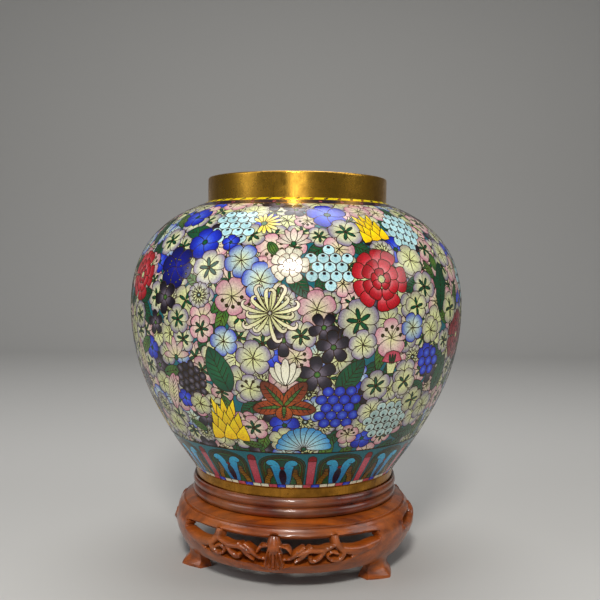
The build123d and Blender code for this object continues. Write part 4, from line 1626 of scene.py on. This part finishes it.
def cabriole(name, bearing):
    """Levels from the seat ring to the ground. Across each level the bearing runs over the
    width, and on the foot the front draws back towards the sides by TOE times a power, so
    the toe comes to a point."""
    rows_s = wall_rows[::-1]
    upper = np.stack([np.interp(rows_s, apron_s, outside[:, i]) for i in (0, 1)], -1)
    slope = np.stack([np.interp(rows_s, apron_s, apron_slope[:, i]) for i in (1, 0)], -1)
    out = slope * np.array([1, -1])
    wall_back = upper - WALL_DEPTH * out
    front = np.concatenate([upper + groove_lift(rows_s)[:, None] * out, FOOT_FRONT])
    behind = np.concatenate([wall_back, FOOT_BACK])
    width = np.radians(np.concatenate([np.full(len(upper), POST_WIDTH), FOOT_WIDTH]))
    flare = np.concatenate([np.zeros(len(upper)), np.linspace(0.15, 1, len(FOOT_FRONT)) ** 0.7])
    across = np.linspace(-1, 1, COLUMNS)
    rows = []
    for (rf, zf), (rb, zb), half, amount in zip(front, behind, width, flare):
        a = bearing + across * half
        r = rf - amount * TOE * np.abs(across) ** 1.1
        rows.append(np.concatenate([
            np.stack([r * np.sin(a), -r * np.cos(a), np.full(COLUMNS, zf)], -1),
            np.stack([rb * np.sin(a), -rb * np.cos(a), np.full(COLUMNS, zb)], -1)[::-1],
        ]))
    points = np.stack(rows)
    levels, count = points.shape[:2]
    index = np.arange(levels * count).reshape(levels, count)
    following = np.roll(index, -1, axis=1)
    sides = np.stack([index[:-1], index[1:], following[1:], following[:-1]], -1).reshape(-1, 4)
    caps = []
    for row, flip in ((index[0], False), (index[-1], True)):
        near, far = row[:COLUMNS], row[::-1][:COLUMNS]
        quads = np.stack([near[:-1], near[1:], far[1:], far[:-1]], -1)
        caps += (quads[:, ::-1] if flip else quads).tolist()
    faces = sides.tolist() + caps
    places = points.reshape(-1, 3) * MM
    made = piece(name, places, faces, "stand", "carved_hardwood", CARVED, ["stand_" + name])
    made.data.set_sharp_from_angle(angle=np.radians(40))


for i, side in enumerate(("right", "rear", "left")):
    cabriole("leg_" + side, PANEL_TURN + (i + 0.5) * 2 * np.pi / 3)

# %% [markdown]
# ## Studio
# A pale floor that curves up into a backdrop, one soft lamp near the viewer and above for the
# highlight on the shoulder, and two wide dim panels at the sides for the metal to reflect.

# %% Floor and backdrop
def sweep_profile(count=24):
    """Flat floor, a quarter circle, then a wall, as distance back and height."""
    turn = np.linspace(0, np.pi / 2, count)
    curve = np.stack([1.0 + 0.4 * np.sin(turn), 0.4 - 0.4 * np.cos(turn)], -1)
    return np.concatenate([[(-1.6, 0.0), (0.2, 0.0)], curve, [(1.4, 2.2)]])


profile = sweep_profile()
wide = np.array([-2.4, 2.4])
sweep_points = np.stack([
    np.repeat(wide[None], len(profile), 0),
    np.repeat(profile[:, :1], 2, 1),
    np.repeat(profile[:, 1:], 2, 1),
], -1).reshape(-1, 3)
sweep_faces = [(2 * i, 2 * i + 1, 2 * i + 3, 2 * i + 2) for i in range(len(profile) - 1)]
paper = bpy.data.meshes.new("backdrop")
paper.from_pydata(sweep_points.tolist(), [], sweep_faces)
paper.shade_smooth()
backdrop = bpy.data.objects.new("backdrop", paper)
bpy.context.scene.collection.objects.link(backdrop)
pale = bpy.data.materials.new("pale paper")
pale.use_nodes = True
pale_shader = pale.node_tree.nodes["Principled BSDF"]
pale_shader.inputs["Base Color"].default_value = (0.52, 0.51, 0.49, 1)
pale_shader.inputs["Roughness"].default_value = 0.9
paper.materials.append(pale)
print("backdrop", len(sweep_faces), "faces")


# %% Lights
def soft_lamp(name, place, target, size, power, colour=(1, 1, 1)):
    """A round area lamp aimed at a point."""
    data = bpy.data.lights.new(name, "AREA")
    data.shape = "DISK"
    data.size = size
    data.energy = power
    data.color = colour
    lamp = bpy.data.objects.new(name, data)
    bpy.context.scene.collection.objects.link(lamp)
    lamp.location = place
    lamp.rotation_euler = (Vector(target) - Vector(place)).to_track_quat("-Z", "Y").to_euler()


soft_lamp("key", (-0.06, -0.78, 0.74), (0, 0, 0.16), 0.18, 6.4, (1.0, 0.98, 0.94))
soft_lamp("left fill", (-1.1, -0.5, 0.7), (0, 0, 0.12), 0.7, 3.6, (0.95, 0.97, 1.0))
soft_lamp("right fill", (1.1, -0.3, 0.8), (0, 0, 0.12), 0.7, 2.8)
soft_lamp("top", (0.0, 0.3, 1.2), (0, 0, 0.1), 0.8, 6.0)
soft_lamp("front", (0.0, -1.3, 0.30), (0, 0, 0.2), 0.45, 1.2)
world = bpy.data.worlds.new("studio")
bpy.context.scene.world = world
world.use_nodes = True
world.node_tree.nodes["Background"].inputs["Color"].default_value = (0.55, 0.57, 0.60, 1)
world.node_tree.nodes["Background"].inputs["Strength"].default_value = 0.19
bpy.context.scene.view_settings.view_transform = "Standard"
print("lamps:", len(bpy.data.lights))

# %% Camera
camera_data = bpy.data.cameras.new("view")
camera = bpy.data.objects.new("view", camera_data)
bpy.context.scene.collection.objects.link(camera)
camera_data.sensor_width = 36.0
camera_data.lens = 48.3
camera_data.shift_x = 0.0063
camera.location = (0.0, -0.4966, 0.1828)
camera.rotation_mode = "XYZ"
PITCH, ROLL = np.radians(3.05), np.radians(0.63)
look = Vector((0, np.cos(PITCH), -np.sin(PITCH)))
camera.rotation_euler = (
    look.to_track_quat("-Z", "Y").to_matrix() @ Matrix.Rotation(ROLL, 3, "Z")
).to_euler()
bpy.context.scene.camera = camera
camera_data.clip_start = 0.01
